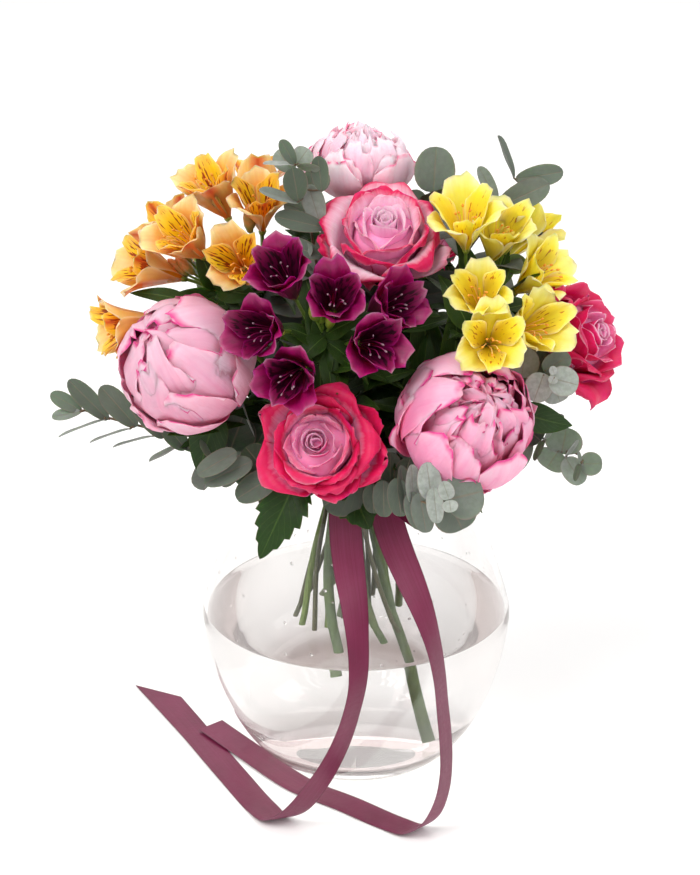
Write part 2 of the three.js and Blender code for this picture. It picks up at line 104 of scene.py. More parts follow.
class Shell:
    # gathers closed sheets and solids, then makes them one mesh
    def __init__(self):
        self.verts, self.faces, self.uvs, self.tones, self.mats = [], [], [], [], []
        self.count = 0

    def add(self, verts, faces, uv, sides, tone, mat):
        # tone: tint, layer and chance of the part; sides: 1 on its outside, 0 inside
        tint, layer, chance = tone
        self.verts.append(verts)
        self.faces.extend([tuple(int(i) + self.count for i in f) for f in faces])
        self.mats.extend([mat] * len(faces))
        self.uvs.append(uv)
        self.tones.append([(tint, layer, side, chance) for side in sides])
        self.count += len(verts)

    def sheet(self, grid, thickness, uv=None, tone=(0, 0, 0), mat=0):
        # grid is (along, across, 3); the outside is on the side of across x along
        nv, nu = grid.shape[:2]
        normal = np.cross(np.gradient(grid, axis=1), np.gradient(grid, axis=0))
        normal /= np.maximum(np.linalg.norm(normal, axis=2, keepdims=True), 1e-9)
        front = grid + normal * thickness / 2
        back = (grid - normal * thickness / 2)[1:-1, 1:-1]
        rim = np.ones((nv, nu), bool)
        rim[1:-1, 1:-1] = False
        front[rim] = grid[rim]
        index = np.arange(nv * nu).reshape(nv, nu)
        under = index.copy()
        under[1:-1, 1:-1] = nv * nu + np.arange((nv - 2) * (nu - 2)).reshape(nv - 2, nu - 2)
        faces = []
        for a, step in ((index, 1), (under, -1)):
            q = np.stack([a[:-1, :-1], a[:-1, 1:], a[1:, 1:], a[1:, :-1]], axis=-1)
            faces.extend(q.reshape(-1, 4)[:, ::step].tolist())
        if uv is None:
            uu, vv = np.meshgrid(np.linspace(0, 1, nu), np.linspace(0, 1, nv))
            uv = np.stack([uu, vv], axis=-1)
        both = [np.concatenate([a.reshape(-1, a.shape[2]), b.reshape(-1, a.shape[2])])
                for a, b in ((front, back), (uv, uv[1:-1, 1:-1]))]
        sides = np.concatenate([np.where(rim, 0.5, 1.0).ravel(), np.zeros(back[..., 0].size)])
        self.add(both[0], faces, both[1], sides, tone, mat)

    def turned(self, profile, sides, place=(0, 0, 0), frame3=np.eye(3), lobes=0, wave=0.0,
               tone=(0, 0, 0), mat=0):
        # a closed solid of revolution: profile is [(radius, height)], bottom pole to top pole
        a = np.linspace(0, 2 * np.pi, sides, endpoint=False)
        lobed = 1 + wave * np.cos(lobes * a)
        rings = [np.stack([r * lobed * np.cos(a), r * lobed * np.sin(a), np.full(sides, float(z))],
                          axis=1) for r, z in profile[1:-1]]
        verts = np.concatenate([[[0, 0, profile[0][1]]]] + rings + [[[0, 0, profile[-1][1]]]])
        m = len(rings)
        faces = []
        for i in range(sides):
            j = (i + 1) % sides
            faces.append((0, 1 + j, 1 + i))
            for k in range(1, 1 + (m - 1) * sides, sides):
                faces.append((k + i, k + j, k + sides + j, k + sides + i))
            faces.append((1 + (m - 1) * sides + i, 1 + (m - 1) * sides + j, len(verts) - 1))
        share = np.concatenate([[0], np.repeat(np.linspace(0.05, 0.95, m), sides), [1]])
        turn = np.concatenate([[0], np.tile(np.linspace(0, 1, sides), m), [0]])
        self.add(verts @ frame3.T + np.asarray(place, float), faces,
                 np.stack([turn, share], axis=1), np.ones(len(verts)), tone, mat)

    def object(self, name, materials, sharp=65):
        mesh = bpy.data.meshes.new(name)
        mesh.from_pydata((np.concatenate(self.verts) * mm).tolist(), [], self.faces)
        loops = np.empty(len(mesh.loops), np.int32)
        mesh.loops.foreach_get("vertex_index", loops)
        layer = mesh.uv_layers.new(name="surface")
        layer.data.foreach_set("uv", np.concatenate(self.uvs)[loops].ravel())
        tone = mesh.attributes.new("tone", "FLOAT_COLOR", "POINT")
        tone.data.foreach_set("color", np.concatenate(self.tones).astype(np.float32).ravel())
        for m in materials:
            mesh.materials.append(m)
        mesh.polygons.foreach_set("material_index", np.array(self.mats, np.int32))
        mesh.polygons.foreach_set("use_smooth", np.ones(len(mesh.polygons), bool))
        mesh.set_sharp_from_angle(angle=math.radians(sharp))
        mesh.update()
        return placed(name, mesh)


def joined(name, parts):
    # several objects made one piece
    first = parts[0]
    with bpy.context.temp_override(active_object=first, object=first,
                                   selected_objects=parts, selected_editable_objects=parts):
        bpy.ops.object.join()
    first.name = name
    first.data.name = name
    return first


def declared(piece, node):
    # every piece rides on the one body and stands for one CAD node
    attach(piece, "root")
    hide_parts(node)
    return piece


def rgb(r, g, b):
    def lin(c):
        c /= 255
        return c / 12.92 if c <= 0.04045 else ((c + 0.055) / 1.055) ** 2.4
    return (lin(r), lin(g), lin(b), 1)


class Nodes:
    # short names for making the nodes of one tree
    def __init__(self, tree):
        self.tree = tree

    def node(self, kind, inputs=None, **settings):
        made = self.tree.nodes.new(kind)
        for key, value in settings.items():
            setattr(made, key, value)
        for key, value in (inputs or {}).items():
            self.plug(made.inputs[key], value)
        return made

    def plug(self, socket, value):
        # a socket is linked, a colour of three numbers up to 255 is made a colour of Blender's
        if isinstance(value, bpy.types.NodeSocket):
            self.tree.links.new(value, socket)
        elif socket.type == "RGBA" and len(value) == 3:
            socket.default_value = rgb(*value)
        else:
            socket.default_value = value

    def first(self, kind, inputs=None, **settings):
        return self.node(kind, inputs, **settings).outputs[0]

    def calc(self, how, a, b=0.0, clamp=False):
        return self.first("ShaderNodeMath", {0: a, 1: b}, operation=how, use_clamp=clamp)

    def times(self, a, *others, clamp=False):
        for other in others[:-1]:
            a = self.calc("MULTIPLY", a, other)
        return self.calc("MULTIPLY", a, others[-1], clamp=clamp)

    def plus(self, a, *others):
        for other in others:
            a = self.calc("ADD", a, other)
        return a

    def minus(self, a, b):
        return self.calc("SUBTRACT", a, b)

    def most(self, a, b):
        return self.calc("MAXIMUM", a, b)

    def spread(self, value, low, high, a=0.0, b=1.0):
        return self.first("ShaderNodeMapRange", {0: value, 1: low, 2: high, 3: a, 4: b})

    def mixed(self, factor, a, b):
        return self.node("ShaderNodeMix", {0: factor, 6: a, 7: b}, data_type="RGBA").outputs[2]

    def joint(self, x, y, z):
        return self.first("ShaderNodeCombineXYZ", {0: x, 1: y, 2: z})

    def ramp(self, factor, stops):
        # each stop is its place and its colour
        made = self.node("ShaderNodeValToRGB", {0: factor})
        line = made.color_ramp
        while len(line.elements) < len(stops):
            line.elements.new(0.5)
        for element, (place, *colour) in zip(line.elements, stops):
            element.position = place
            element.color = rgb(*colour)
        return made.outputs[0]

    def noise(self, where, scale, detail=3.0, rough=0.55):
        return self.first("ShaderNodeTexNoise", {"Vector": where, "Scale": scale,
                                                 "Detail": detail, "Roughness": rough})


class Finish(Nodes):
    # a material: u across, v along, the tone attribute's parts, the object's own coordinates
    def __init__(self, name, mapped=True):
        self.material = bpy.data.materials.new(name)
        self.material.use_nodes = True
        super().__init__(self.material.node_tree)
        self.shader = self.tree.nodes["Principled BSDF"]
        self.place = self.node("ShaderNodeTexCoord").outputs["Object"]
        if mapped:
            uv = self.first("ShaderNodeUVMap", uv_map="surface")
            self.u, self.v = self.node("ShaderNodeSeparateXYZ", {0: uv}).outputs[:2]
            tone = self.node("ShaderNodeAttribute", attribute_name="tone")
            self.chance = tone.outputs["Alpha"]
            parts = self.node("ShaderNodeSeparateColor", {0: tone.outputs["Color"]})
            self.tint, self.layer, self.outer = parts.outputs
            self.side = self.calc("ABSOLUTE", self.minus(self.times(self.u, 2.0), 1.0))

    def fibres(self, across, along):
        # fine lines that run along a petal or leaf
        where = self.joint(self.times(self.u, across), self.times(self.v, along),
                           self.times(self.chance, 31.0))
        return self.noise(where, 1.0, 4.0, 0.6)

    def done(self, colour, rough, values, height=None, strength=0.0, distance=0.0):
        # values: what the shader's other inputs are set to; height: for the bump
        values = {"Base Color": colour, "Roughness": rough, **values}
        if height is not None:
            values["Normal"] = self.first("ShaderNodeBump", {
                "Height": height, "Strength": strength, "Distance": distance})
        for key, value in values.items():
            self.plug(self.shader.inputs[key], value)
        return self.material


viewpoint = {"place": (-0.004, -1.477, 0.834), "tilt": 67.4, "lens": 103.7}
softboxes = [  # place, size, watts, colour, all aimed at the middle of the bouquet
    ((-1.1, -1.3, 2.1), 1.6, 46, (1.0, 0.985, 0.965)),
    ((1.4, -0.9, 1.5), 1.4, 13, (0.97, 0.985, 1.0)),
    ((0.2, 1.6, 2.2), 2.2, 26, (1.0, 1.0, 1.0)),
]
surroundings = {"aim": (0, 0, 0.24), "worldStrength": 0.66, "floorHalf": 6.0,
                "floorColours": [(0.3, 249, 248, 247), (0.7, 252, 251, 250)]}


def buildStage():
    data = bpy.data.cameras.new("camera")
    data.lens = viewpoint["lens"]
    data.sensor_width = 36
    data.clip_end = 50
    scene.camera = placed("camera", data)
    scene.camera.location = viewpoint["place"]
    scene.camera.rotation_euler = (math.radians(viewpoint["tilt"]), 0, 0)
    for i, (place, size, watts, colour) in enumerate(softboxes):
        lamp = bpy.data.lights.new(f"softbox_{i + 1}", "AREA")
        lamp.size, lamp.energy, lamp.color = size, watts, colour
        holder = placed(lamp.name, lamp)
        holder.location = place
        away = holder.location - Vector(surroundings["aim"])
        holder.rotation_euler = away.to_track_quat("Z", "Y").to_euler()
    world = bpy.data.worlds.new("studio")
    world.use_nodes = True
    sky = world.node_tree.nodes["Background"].inputs
    sky[0].default_value = (1, 1, 1, 1)
    sky[1].default_value = surroundings["worldStrength"]
    scene.world = world
    scene.view_settings.view_transform = "Standard"
    s = Finish("pale_floor", mapped=False)
    colour = s.ramp(s.noise(s.place, 3.0, 2.0), surroundings["floorColours"])
    mesh = bpy.data.meshes.new("floor")
    r = surroundings["floorHalf"]
    mesh.from_pydata([(-r, -r, 0), (r, -r, 0), (r, r, 0), (-r, r, 0)], [], [(0, 1, 2, 3)])
    mesh.materials.append(s.done(colour, 0.7, {"Specular IOR Level": 0.2}))
    placed("floor", mesh)


buildStage()
print("stage ready")


petalPlain = {  # what a petal has unless its own look says otherwise
    "fibres": 26.0, "drift": 0.35, "rimCloud": 0.3, "rimShift": 0.0, "tintAmount": 0.5,
    "rimByLayer": (1.0, 1.0), "lineWide": 0.95, "lineFrom": 0.45, "lineOuter": 1.0,
    "lineAmount": 0.0, "streakFrom": 0.5, "streakTo": 0.68, "streakEnd": 0.85,
    "streakAmount": 0.6, "veinAmount": 0.16, "sheen": 0.12, "glow": 0.58,
    "glowRadius": (1.0, 0.45, 0.5), "bump": 0.5,
}


def petalMaterial(name, look):
    s = Finish(name)
    look = dict(petalPlain, **look)
    cloud = s.noise(s.place, 55.0)
    veins = s.fibres(look["fibres"], 2.2)
    # how far along, shifted by clouds and by the petal's own chance
    reach = s.plus(s.v, s.times(s.minus(cloud, 0.5), look["drift"]),
                   s.times(s.minus(s.chance, 0.5), 0.2))
    colour = s.mixed(s.outer, s.ramp(reach, look["inside"]), s.ramp(reach, look["outside"]))
    # a few petals are paler or deeper than the rest
    colour = s.mixed(s.times(s.tint, look["tintAmount"]), colour, look["tint"])
    # margins: a rim along the sides and the tip
    brink = s.most(s.side, s.v)
    edge = s.plus(brink, s.times(s.minus(veins, 0.5), 0.14),
                  s.times(s.minus(cloud, 0.5), look["rimCloud"]),
                  s.spread(s.layer, 0.35, 0.8, 0.0, look["rimShift"]))
    rim = s.times(s.spread(edge, look["rimFrom"], look["rimTo"]),
                  s.spread(s.layer, 0.15, 0.65, *look["rimByLayer"]), look["rimAmount"],
                  clamp=True)
    colour = s.mixed(rim, colour, look["rim"])
    # a thin line here and there on the very edge: on the peonies painted shade, deep magenta, in
    # the creases where petals meet; on the roses a painted highlight on the lips of the inner
    # petals
    line = s.times(s.spread(brink, look["lineWide"], 0.985),
                   s.spread(cloud, look["lineFrom"], look["lineFrom"] + 0.1),
                   s.spread(s.layer, 0.3, 0.7, 1.0, look["lineOuter"]), look["lineAmount"],
                   clamp=True)
    colour = s.mixed(line, colour, look["line"])
    # darker streaks that start at the petal's base
    streak = s.times(s.spread(veins, look["streakFrom"], look["streakTo"]),
                     s.spread(s.v, look["streakEnd"], 0.05), look["streakAmount"], clamp=True)
    colour = s.mixed(streak, colour, look["streak"])
    colour = s.mixed(s.spread(veins, 0.3, 0.7, 0.0, look["veinAmount"]), colour, look["vein"])
    crinkle = s.noise(s.place, 260.0, 4.0)
    height = s.plus(s.times(veins, 0.8), s.times(cloud, 0.6), s.times(crinkle, 0.35))
    return s.done(colour, s.spread(cloud, 0.3, 0.7, 0.42, 0.6), {
        "Specular IOR Level": 0.32, "Sheen Weight": look["sheen"], "Sheen Roughness": 0.4,
        "Subsurface Weight": look["glow"], "Subsurface Radius": look["glowRadius"],
        "Subsurface Scale": 0.0035}, height, look["bump"], 0.0009)


peonyPale = {
    "outside": [(0.0, 204, 104, 136), (0.22, 224, 134, 160), (0.6, 234, 158, 180),
                (1.0, 244, 188, 204)],
    "inside": [(0.0, 212, 50, 116), (0.3, 230, 120, 160), (0.7, 238, 160, 186),
               (1.0, 246, 194, 210)],
    "rim": (248, 202, 216), "rimAmount": 0.45, "rimFrom": 0.8, "rimTo": 1.05,
    # the line colour is painted shade in the creases between the peony petals
    "lineAmount": 1.0, "lineFrom": 0.43, "lineWide": 0.935, "line": (226, 24, 120),
    "streak": (220, 50, 122), "streakAmount": 0.4, "streakEnd": 0.75, "streakFrom": 0.56,
    "streakTo": 0.66, "tint": (214, 132, 156), "tintAmount": 0.5,
    "vein": (216, 108, 146), "veinAmount": 0.26, "fibres": 20.0, "drift": 0.4, "sheen": 0.03,
}
peonyBright = dict(peonyPale, **{
    "outside": [(0.0, 240, 60, 136), (0.3, 247, 118, 162), (0.65, 250, 146, 178),
                (1.0, 253, 188, 206)],
    "inside": [(0.0, 246, 40, 126), (0.35, 251, 116, 164), (0.7, 253, 158, 190),
               (1.0, 254, 200, 216)],
    "streak": (240, 30, 134), "streakAmount": 0.6, "streakEnd": 0.9,
    "tint": (251, 144, 180), "vein": (246, 100, 156), "lineFrom": 0.4,
})
peonyCream = dict(peonyPale, **{
    "outside": [(0.0, 232, 120, 156), (0.25, 246, 160, 190), (0.6, 253, 190, 210),
                (1.0, 254, 218, 228)],
    "inside": [(0.0, 226, 40, 110), (0.35, 248, 146, 184), (0.7, 253, 194, 214),
               (1.0, 254, 222, 230)],
    "streak": (232, 24, 100), "streakAmount": 0.8, "streakEnd": 0.9, "streakFrom": 0.6,
    "tint": (246, 190, 206), "vein": (240, 160, 186), "lineFrom": 0.48,
    # the line colour here is also painted shade in the creases between petals
    "rim": (254, 236, 238), "line": (236, 30, 112),
})
roseSkin = {
    "outside": [(0.0, 204, 190, 130), (0.2, 232, 160, 190), (0.55, 230, 90, 150),
                (1.0, 228, 60, 136)],
    "inside": [(0.0, 240, 160, 200), (0.3, 242, 166, 204), (0.62, 244, 176, 212),
               (1.0, 250, 200, 226)],
    "rim": (212, 0, 74), "rimAmount": 1.0, "rimFrom": 0.86, "rimTo": 1.04, "rimShift": 0.32,
    # the line colour is a painted highlight on the lips of the inner rose petals
    "rimByLayer": (0.0, 1.0), "lineAmount": 0.7, "lineFrom": 0.3, "line": (250, 210, 228),
    "lineWide": 0.955, "lineOuter": 0.1, "streak": (214, 70, 146), "streakAmount": 0.25,
    "streakEnd": 0.7, "tint": (246, 190, 216), "tintAmount": 0.35,
    "vein": (206, 80, 146), "veinAmount": 0.14, "fibres": 24.0, "drift": 0.2,
    "sheen": 0.03, "glow": 0.4, "glowRadius": (1.0, 0.4, 0.7), "bump": 0.4, "rimCloud": 0.12,
}
rosePale = dict(roseSkin, **{
    "outside": [(0.0, 214, 70, 110), (0.3, 234, 128, 176), (0.7, 246, 172, 208),
                (1.0, 250, 200, 224)],
    "inside": [(0.0, 242, 170, 206), (0.3, 248, 192, 220), (0.62, 252, 212, 230),
               (1.0, 254, 230, 240)],
    "rimFrom": 0.9, "rimTo": 1.1, "rimShift": 0.26, "rimByLayer": (0.1, 1.0),
})
roseDeep = dict(roseSkin, **{
    "outside": [(0.0, 206, 160, 110), (0.2, 220, 50, 100), (0.55, 218, 14, 84),
                (1.0, 222, 20, 100)],
    "inside": [(0.0, 230, 100, 160), (0.3, 232, 104, 164), (0.62, 238, 130, 184),
               (1.0, 246, 168, 208)],
    "rimByLayer": (0.3, 1.0), "rimShift": 0.4, "rimTo": 1.0,
})
petalSkins = {
    "peony_pale": petalMaterial("peony_pale", peonyPale),
    "peony_bright": petalMaterial("peony_bright", peonyBright),
    "peony_cream": petalMaterial("peony_cream", peonyCream),
    "rose": petalMaterial("rose_mauve", roseSkin),
    "rose_pale": petalMaterial("rose_pale", rosePale),
    "rose_deep": petalMaterial("rose_deep", roseDeep),
}


def tepalMaterial(name, look):
    # layer 0: broad outer tepal; layer 1: narrow streaked inner tepal
    s = Finish(name)
    cloud = s.noise(s.place, 160.0, 2.0)
    veins = s.fibres(16.0, 1.6)
    reach = s.plus(s.v, s.times(s.minus(cloud, 0.5), 0.2))
    colour = s.mixed(s.spread(s.layer, 0.4, 0.6), s.ramp(reach, look["broad"]),
                     s.ramp(reach, look["narrow"]))
    # paler margins along the sides: partly the tepals' own paler edge, partly a painted highlight
    # where the edges catch the light
    rim = s.times(s.calc("POWER", s.side, 4.0), look["rimAmount"])
    colour = s.mixed(rim, colour, look["rim"])
    middle = s.times(s.spread(s.side, 0.32, 0.02), s.spread(s.v, 0.25, 0.8, 0.2, 1.0),
                     s.spread(s.outer, 0.3, 0.7, look["middleInside"], 1.0),
                     look["middleAmount"], clamp=True)
    colour = s.mixed(middle, colour, look["middle"])
    # short dark dashes on the inner tepals
    fine, long = look["dashSize"]
    where = s.joint(s.times(s.u, fine), s.times(s.v, long), s.times(s.chance, 19.0))
    dash = s.spread(s.noise(where, 1.0, 1.0), look["dashFrom"], look["dashFrom"] + 0.05)
    band = s.times(s.spread(s.v, 0.25, 0.35), s.spread(s.v, 0.93, 0.8))
    dash = s.times(dash, band, s.spread(s.layer, 0.3, 0.8, look["dashOuter"], 1.0))
    dash = s.times(dash, s.spread(s.side, 0.85, 0.6), clamp=True)
    colour = s.mixed(dash, colour, look["dash"])
    # green point at the tip and green foot
    tip = s.times(s.spread(s.v, 0.94, 1.0), s.spread(s.side, 0.3, 0.08), look["tipAmount"],
                  clamp=True)
    colour = s.mixed(tip, colour, look["tip"])
    colour = s.mixed(s.spread(veins, 0.35, 0.7, 0.0, 0.25), colour, look["vein"])
    return s.done(colour, s.spread(veins, 0.3, 0.7, 0.34, 0.5), {
        "Specular IOR Level": 0.4, "Subsurface Weight": look["glow"],
        "Subsurface Radius": look["glowRadius"], "Subsurface Scale": 0.004}, veins, 0.45, 0.0004)


tepalSkins = {name: tepalMaterial("alstroemeria_" + name, look) for name, look in {
    "orange": {
        "broad": [(0.0, 236, 124, 44), (0.3, 252, 156, 68), (0.7, 254, 186, 100),
                  (1.0, 254, 216, 160)],
        "narrow": [(0.0, 230, 126, 20), (0.35, 254, 194, 10), (0.7, 254, 208, 26),
                   (1.0, 254, 190, 84)],
        "rim": (253, 220, 170), "rimAmount": 0.85,
        "middle": (168, 60, 34), "middleAmount": 0.95, "middleInside": 0.2,
        "dash": (110, 40, 10), "dashFrom": 0.54, "dashOuter": 0.0, "dashSize": (22.0, 3.6),
        "tip": (120, 134, 50), "tipAmount": 0.8, "vein": (226, 106, 34),
        "glow": 0.6, "glowRadius": (1.0, 0.45, 0.2)},
    "burgundy": {
        "broad": [(0.0, 44, 0, 22), (0.35, 84, 0, 46), (0.7, 122, 0, 70),
                  (1.0, 152, 6, 92)],
        "narrow": [(0.0, 80, 30, 40), (0.3, 70, 0, 36), (0.7, 92, 0, 52),
                   (1.0, 122, 4, 74)],
        "rim": (178, 20, 116), "rimAmount": 0.45,
        "middle": (60, 0, 32), "middleAmount": 0.6, "middleInside": 0.25,
        "dash": (26, 0, 12), "dashFrom": 0.5, "dashOuter": 0.2, "dashSize": (18.0, 5.0),
        "tip": (190, 150, 150), "tipAmount": 0.35, "vein": (60, 0, 34),
        "glow": 0.35, "glowRadius": (1.0, 0.12, 0.5)},
    "yellow": {
        "broad": [(0.0, 198, 198, 50), (0.25, 250, 220, 50), (0.7, 254, 232, 84),
                  (1.0, 254, 243, 160)],
        "narrow": [(0.0, 220, 198, 40), (0.4, 250, 210, 34), (0.8, 254, 222, 62),
                   (1.0, 254, 238, 136)],
        "rim": (253, 242, 190), "rimAmount": 0.9,
        "middle": (186, 184, 50), "middleAmount": 0.75, "middleInside": 0.3,
        "dash": (176, 96, 24), "dashFrom": 0.63, "dashOuter": 0.0, "dashSize": (18.0, 5.0),
        "tip": (170, 186, 70), "tipAmount": 0.6, "vein": (232, 186, 34),
        "glow": 0.62, "glowRadius": (1.0, 0.8, 0.2)},
}.items()}


def leafMaterial(name, look):
    s = Finish(name)
    cloud = s.noise(s.place, look["cloudScale"])
    colour = s.mixed(s.spread(cloud, 0.3, 0.7), look["dark"], look["light"])
    colour = s.mixed(s.tint, colour, look["other"])
    colour = s.mixed(s.outer, look["under"], colour)
    # side veins slant away from the midrib
    fine = s.noise(s.place, 300.0, 2.0)
    slant = s.plus(s.minus(s.times(s.v, look["veinCount"]), s.times(s.side, look["veinSlant"])),
                   s.times(fine, 0.25))
    vein = s.spread(s.calc("PINGPONG", slant, 0.5), 0.07, 0.0)
    lines = s.most(s.times(vein, look["veinAmount"]),
                   s.times(s.spread(s.side, 0.07, 0.015), look["midribAmount"]))
    colour = s.mixed(lines, colour, look["vein"])
    edge = s.most(s.spread(s.side, 0.93, 1.0), s.spread(s.v, 0.975, 1.0))
    colour = s.mixed(s.times(edge, look["rimAmount"]), colour, look["rim"])
    colour = s.mixed(s.spread(fine, 0.35, 0.65, 0.0, look["speckle"]), colour, look["speck"])
    height = s.minus(s.times(fine, 0.3), s.times(lines, 1.0))
    return s.done(colour, s.spread(fine, 0.3, 0.7, *look["rough"]), {
        "Specular IOR Level": look["gloss"], "Subsurface Weight": 0.12,
        "Subsurface Radius": (0.4, 1.0, 0.2), "Subsurface Scale": 0.0015, **look["bloom"]},
        height, 0.5, 0.0005)


leafSkins = {name: leafMaterial(name + "_leaf", look) for name, look in {
    "eucalyptus": {
        "dark": (38, 48, 34), "light": (62, 74, 58), "other": (158, 164, 158),
        "under": (92, 98, 88), "vein": (124, 106, 90), "veinCount": 7.0, "veinSlant": 2.4,
        "veinAmount": 0.16, "midribAmount": 0.5, "rim": (128, 88, 80), "rimAmount": 0.6,
        "speck": (84, 90, 78), "speckle": 0.3, "rough": (0.5, 0.68), "gloss": 0.28,
        "bloom": {"Sheen Weight": 0.12, "Sheen Roughness": 0.6}, "cloudScale": 45.0},
    "rose": {
        "dark": (8, 26, 4), "light": (24, 48, 9), "other": (42, 68, 16), "under": (34, 58, 18),
        "vein": (70, 96, 36), "veinCount": 9.0, "veinSlant": 3.0, "veinAmount": 0.35,
        "midribAmount": 0.6, "rim": (84, 66, 34), "rimAmount": 0.3, "speck": (22, 48, 12),
        "speckle": 0.2, "rough": (0.36, 0.52), "gloss": 0.22, "bloom": {}, "cloudScale": 70.0},
    "lance": {
        "dark": (10, 25, 5), "light": (27, 49, 11), "other": (94, 124, 26),
        "under": (42, 66, 18), "vein": (110, 140, 64), "veinCount": 1.0, "veinSlant": 9.0,
        "veinAmount": 0.3, "midribAmount": 0.5, "rim": (100, 130, 60), "rimAmount": 0.3,
        "speck": (40, 72, 20), "speckle": 0.2, "rough": (0.36, 0.52), "gloss": 0.24,
        "bloom": {}, "cloudScale": 70.0},
}.items()}


def stalkMaterial(name, start, end, low, high, patch, fleck):
    s = Finish(name, mapped=False)
    height = s.node("ShaderNodeSeparateXYZ", {0: s.place}).outputs[2]
    cloud = s.noise(s.place, 60.0)
    squeezed = s.first("ShaderNodeMapping", {0: s.place, "Scale": (1, 1, 0.12)})
    grain = s.noise(squeezed, 900.0, 2.0)
    colour = s.mixed(s.spread(s.plus(height, s.times(cloud, 0.04)), start, end), low, high)
    colour = s.mixed(s.spread(cloud, 0.45, 0.65, 0.0, 0.5), colour, patch)
    colour = s.mixed(s.spread(grain, 0.3, 0.7, 0.0, 0.35), colour, fleck)
    return s.done(colour, s.spread(grain, 0.3, 0.7, 0.38, 0.55), {
        "Subsurface Weight": 0.1, "Subsurface Radius": (0.5, 1.0, 0.2),
        "Subsurface Scale": 0.002}, grain, 0.3, 0.0005)


stalkSkins = {name: stalkMaterial(name + "_stem", *look) for name, look in {
    # heights in metres where it turns from the low to the high colour, then patches and grain
    "peony": (0.15, 0.26, (106, 122, 90), (92, 130, 50), (110, 130, 64), (74, 98, 50)),
    "rose": (0.17, 0.26, (98, 116, 78), (64, 102, 44), (124, 124, 88), (84, 106, 66)),
    "alstroemeria": (0.16, 0.27, (122, 142, 76), (106, 138, 40), (132, 150, 78), (84, 112, 50)),
    "eucalyptus": (0.16, 0.26, (92, 96, 66), (106, 86, 66), (116, 110, 82), (78, 62, 50)),
}.items()}


def plainDetail(name, low, high, rough=0.5, scale=400.0, glow=0.1):
    # small parts: buds, anthers, filaments, flower hearts
    s = Finish(name)
    speck = s.noise(s.place, scale)
    level = s.calc("ADD", s.times(s.v, 0.8), s.spread(speck, 0.35, 0.65, -0.2, 0.2), True)
    return s.done(s.mixed(level, low, high), s.spread(speck, 0.3, 0.7, rough - 0.1, rough + 0.1),
                  {"Subsurface Weight": glow, "Subsurface Scale": 0.001}, speck, 0.3, 0.0003)


detailSkins = {
    "bud": plainDetail("green_bud", (76, 110, 24), (166, 174, 62), 0.42, 240.0),
    "orangeBud": plainDetail("orange_bud", (120, 140, 60), (236, 140, 80), 0.42, 240.0),
    "yellowBud": plainDetail("yellow_bud", (130, 156, 60), (240, 216, 90), 0.42, 240.0),
    "anther": plainDetail("anther", (214, 130, 30), (232, 160, 50), 0.7),
    "greyAnther": plainDetail("pale_anther", (110, 70, 90), (160, 130, 140), 0.7),
    "filament": plainDetail("filament", (240, 190, 120), (246, 226, 190), 0.4),
    "darkFilament": plainDetail("dark_filament", (150, 20, 90), (196, 90, 150), 0.4),
    "packedPeony": plainDetail("packed_peony_petals", (226, 70, 136), (240, 130, 178), 0.6,
                               180.0, 0.4),
    "packedRose": plainDetail("packed_rose_petals", (228, 120, 170), (240, 160, 200), 0.6,
                              180.0, 0.4),
    "sepal": plainDetail("sepal", (96, 140, 52), (168, 186, 96), 0.45, 160.0),
}
print("materials ready")


class Growth(Nodes):
    # a Geometry Nodes tree with named inputs, and its run on a source mesh
    def __init__(self, name, inputs):
        super().__init__(bpy.data.node_groups.new(name, "GeometryNodeTree"))
        face = self.tree.interface
        face.new_socket(name="Geometry", in_out="INPUT", socket_type="NodeSocketGeometry")
        for label, (kind, value) in inputs.items():
            socket = face.new_socket(name=label, in_out="INPUT", socket_type="NodeSocket" + kind)
            if value is not None:
                socket.default_value = value
        face.new_socket(name="Geometry", in_out="OUTPUT", socket_type="NodeSocketGeometry")
        self.given = self.tree.nodes.new("NodeGroupInput").outputs
        self.end = self.tree.nodes.new("NodeGroupOutput")

    def named(self, name, kind):
        return self.first("GeometryNodeInputNamedAttribute", {"Name": name}, data_type=kind)

    def close(self, shape):
        real = self.first("GeometryNodeRealizeInstances", {0: shape})
        self.plug(self.end.inputs[0], self.first("GeometryNodeSetMaterial",
                                                 {0: real, "Material": self.given["Skin"]}))

    def run(self, name, source, values):
        # keeps the result as a plain mesh
        holder = placed(name + "_source", source)
        modifier = holder.modifiers.new("grow", "NODES")
        modifier.node_group = self.tree
        for item in self.tree.interface.items_tree:
            if item.in_out == "INPUT" and item.name in values:
                modifier[item.identifier] = values[item.name]
        shown = bpy.context.evaluated_depsgraph_get()
        mesh = bpy.data.meshes.new_from_object(holder.evaluated_get(shown), depsgraph=shown)
        mesh.name = name
        holder.modifiers.clear()
        bpy.data.objects.remove(holder)
        return placed(name, mesh)


def stalkTree():
    # polylines with a "thick" value become capped, slightly uneven tubes
    g = Growth("stalks", {
        "Thickness": ("Float", 1.0), "Sides": ("Int", 10), "Lumps": ("Float", 0.0002),
        "Lump Scale": ("Float", 90.0), "Skin": ("Material", None)})
    curve = g.first("GeometryNodeMeshToCurve", {0: g.given["Geometry"]})
    ring = g.first("GeometryNodeCurvePrimitiveCircle",
                   {"Resolution": g.given["Sides"], "Radius": 1.0})
    tube = g.first("GeometryNodeCurveToMesh", {
        0: curve, 1: ring, "Scale": g.times(g.named("thick", "FLOAT"), g.given["Thickness"]),
        "Fill Caps": True})
    uneven = g.first("ShaderNodeTexNoise", {"Vector": g.first("GeometryNodeInputPosition"),
                                            "Scale": g.given["Lump Scale"], "Detail": 2.0})
    push = g.times(g.minus(uneven, 0.5), g.given["Lumps"])
    offset = g.first("ShaderNodeVectorMath", {0: g.first("GeometryNodeInputNormal"),
                                              "Scale": push}, operation="SCALE")
    tube = g.first("GeometryNodeSetPosition", {"Geometry": tube, "Offset": offset})
    g.close(g.first("GeometryNodeSetShadeSmooth", {"Geometry": tube}))
    return g


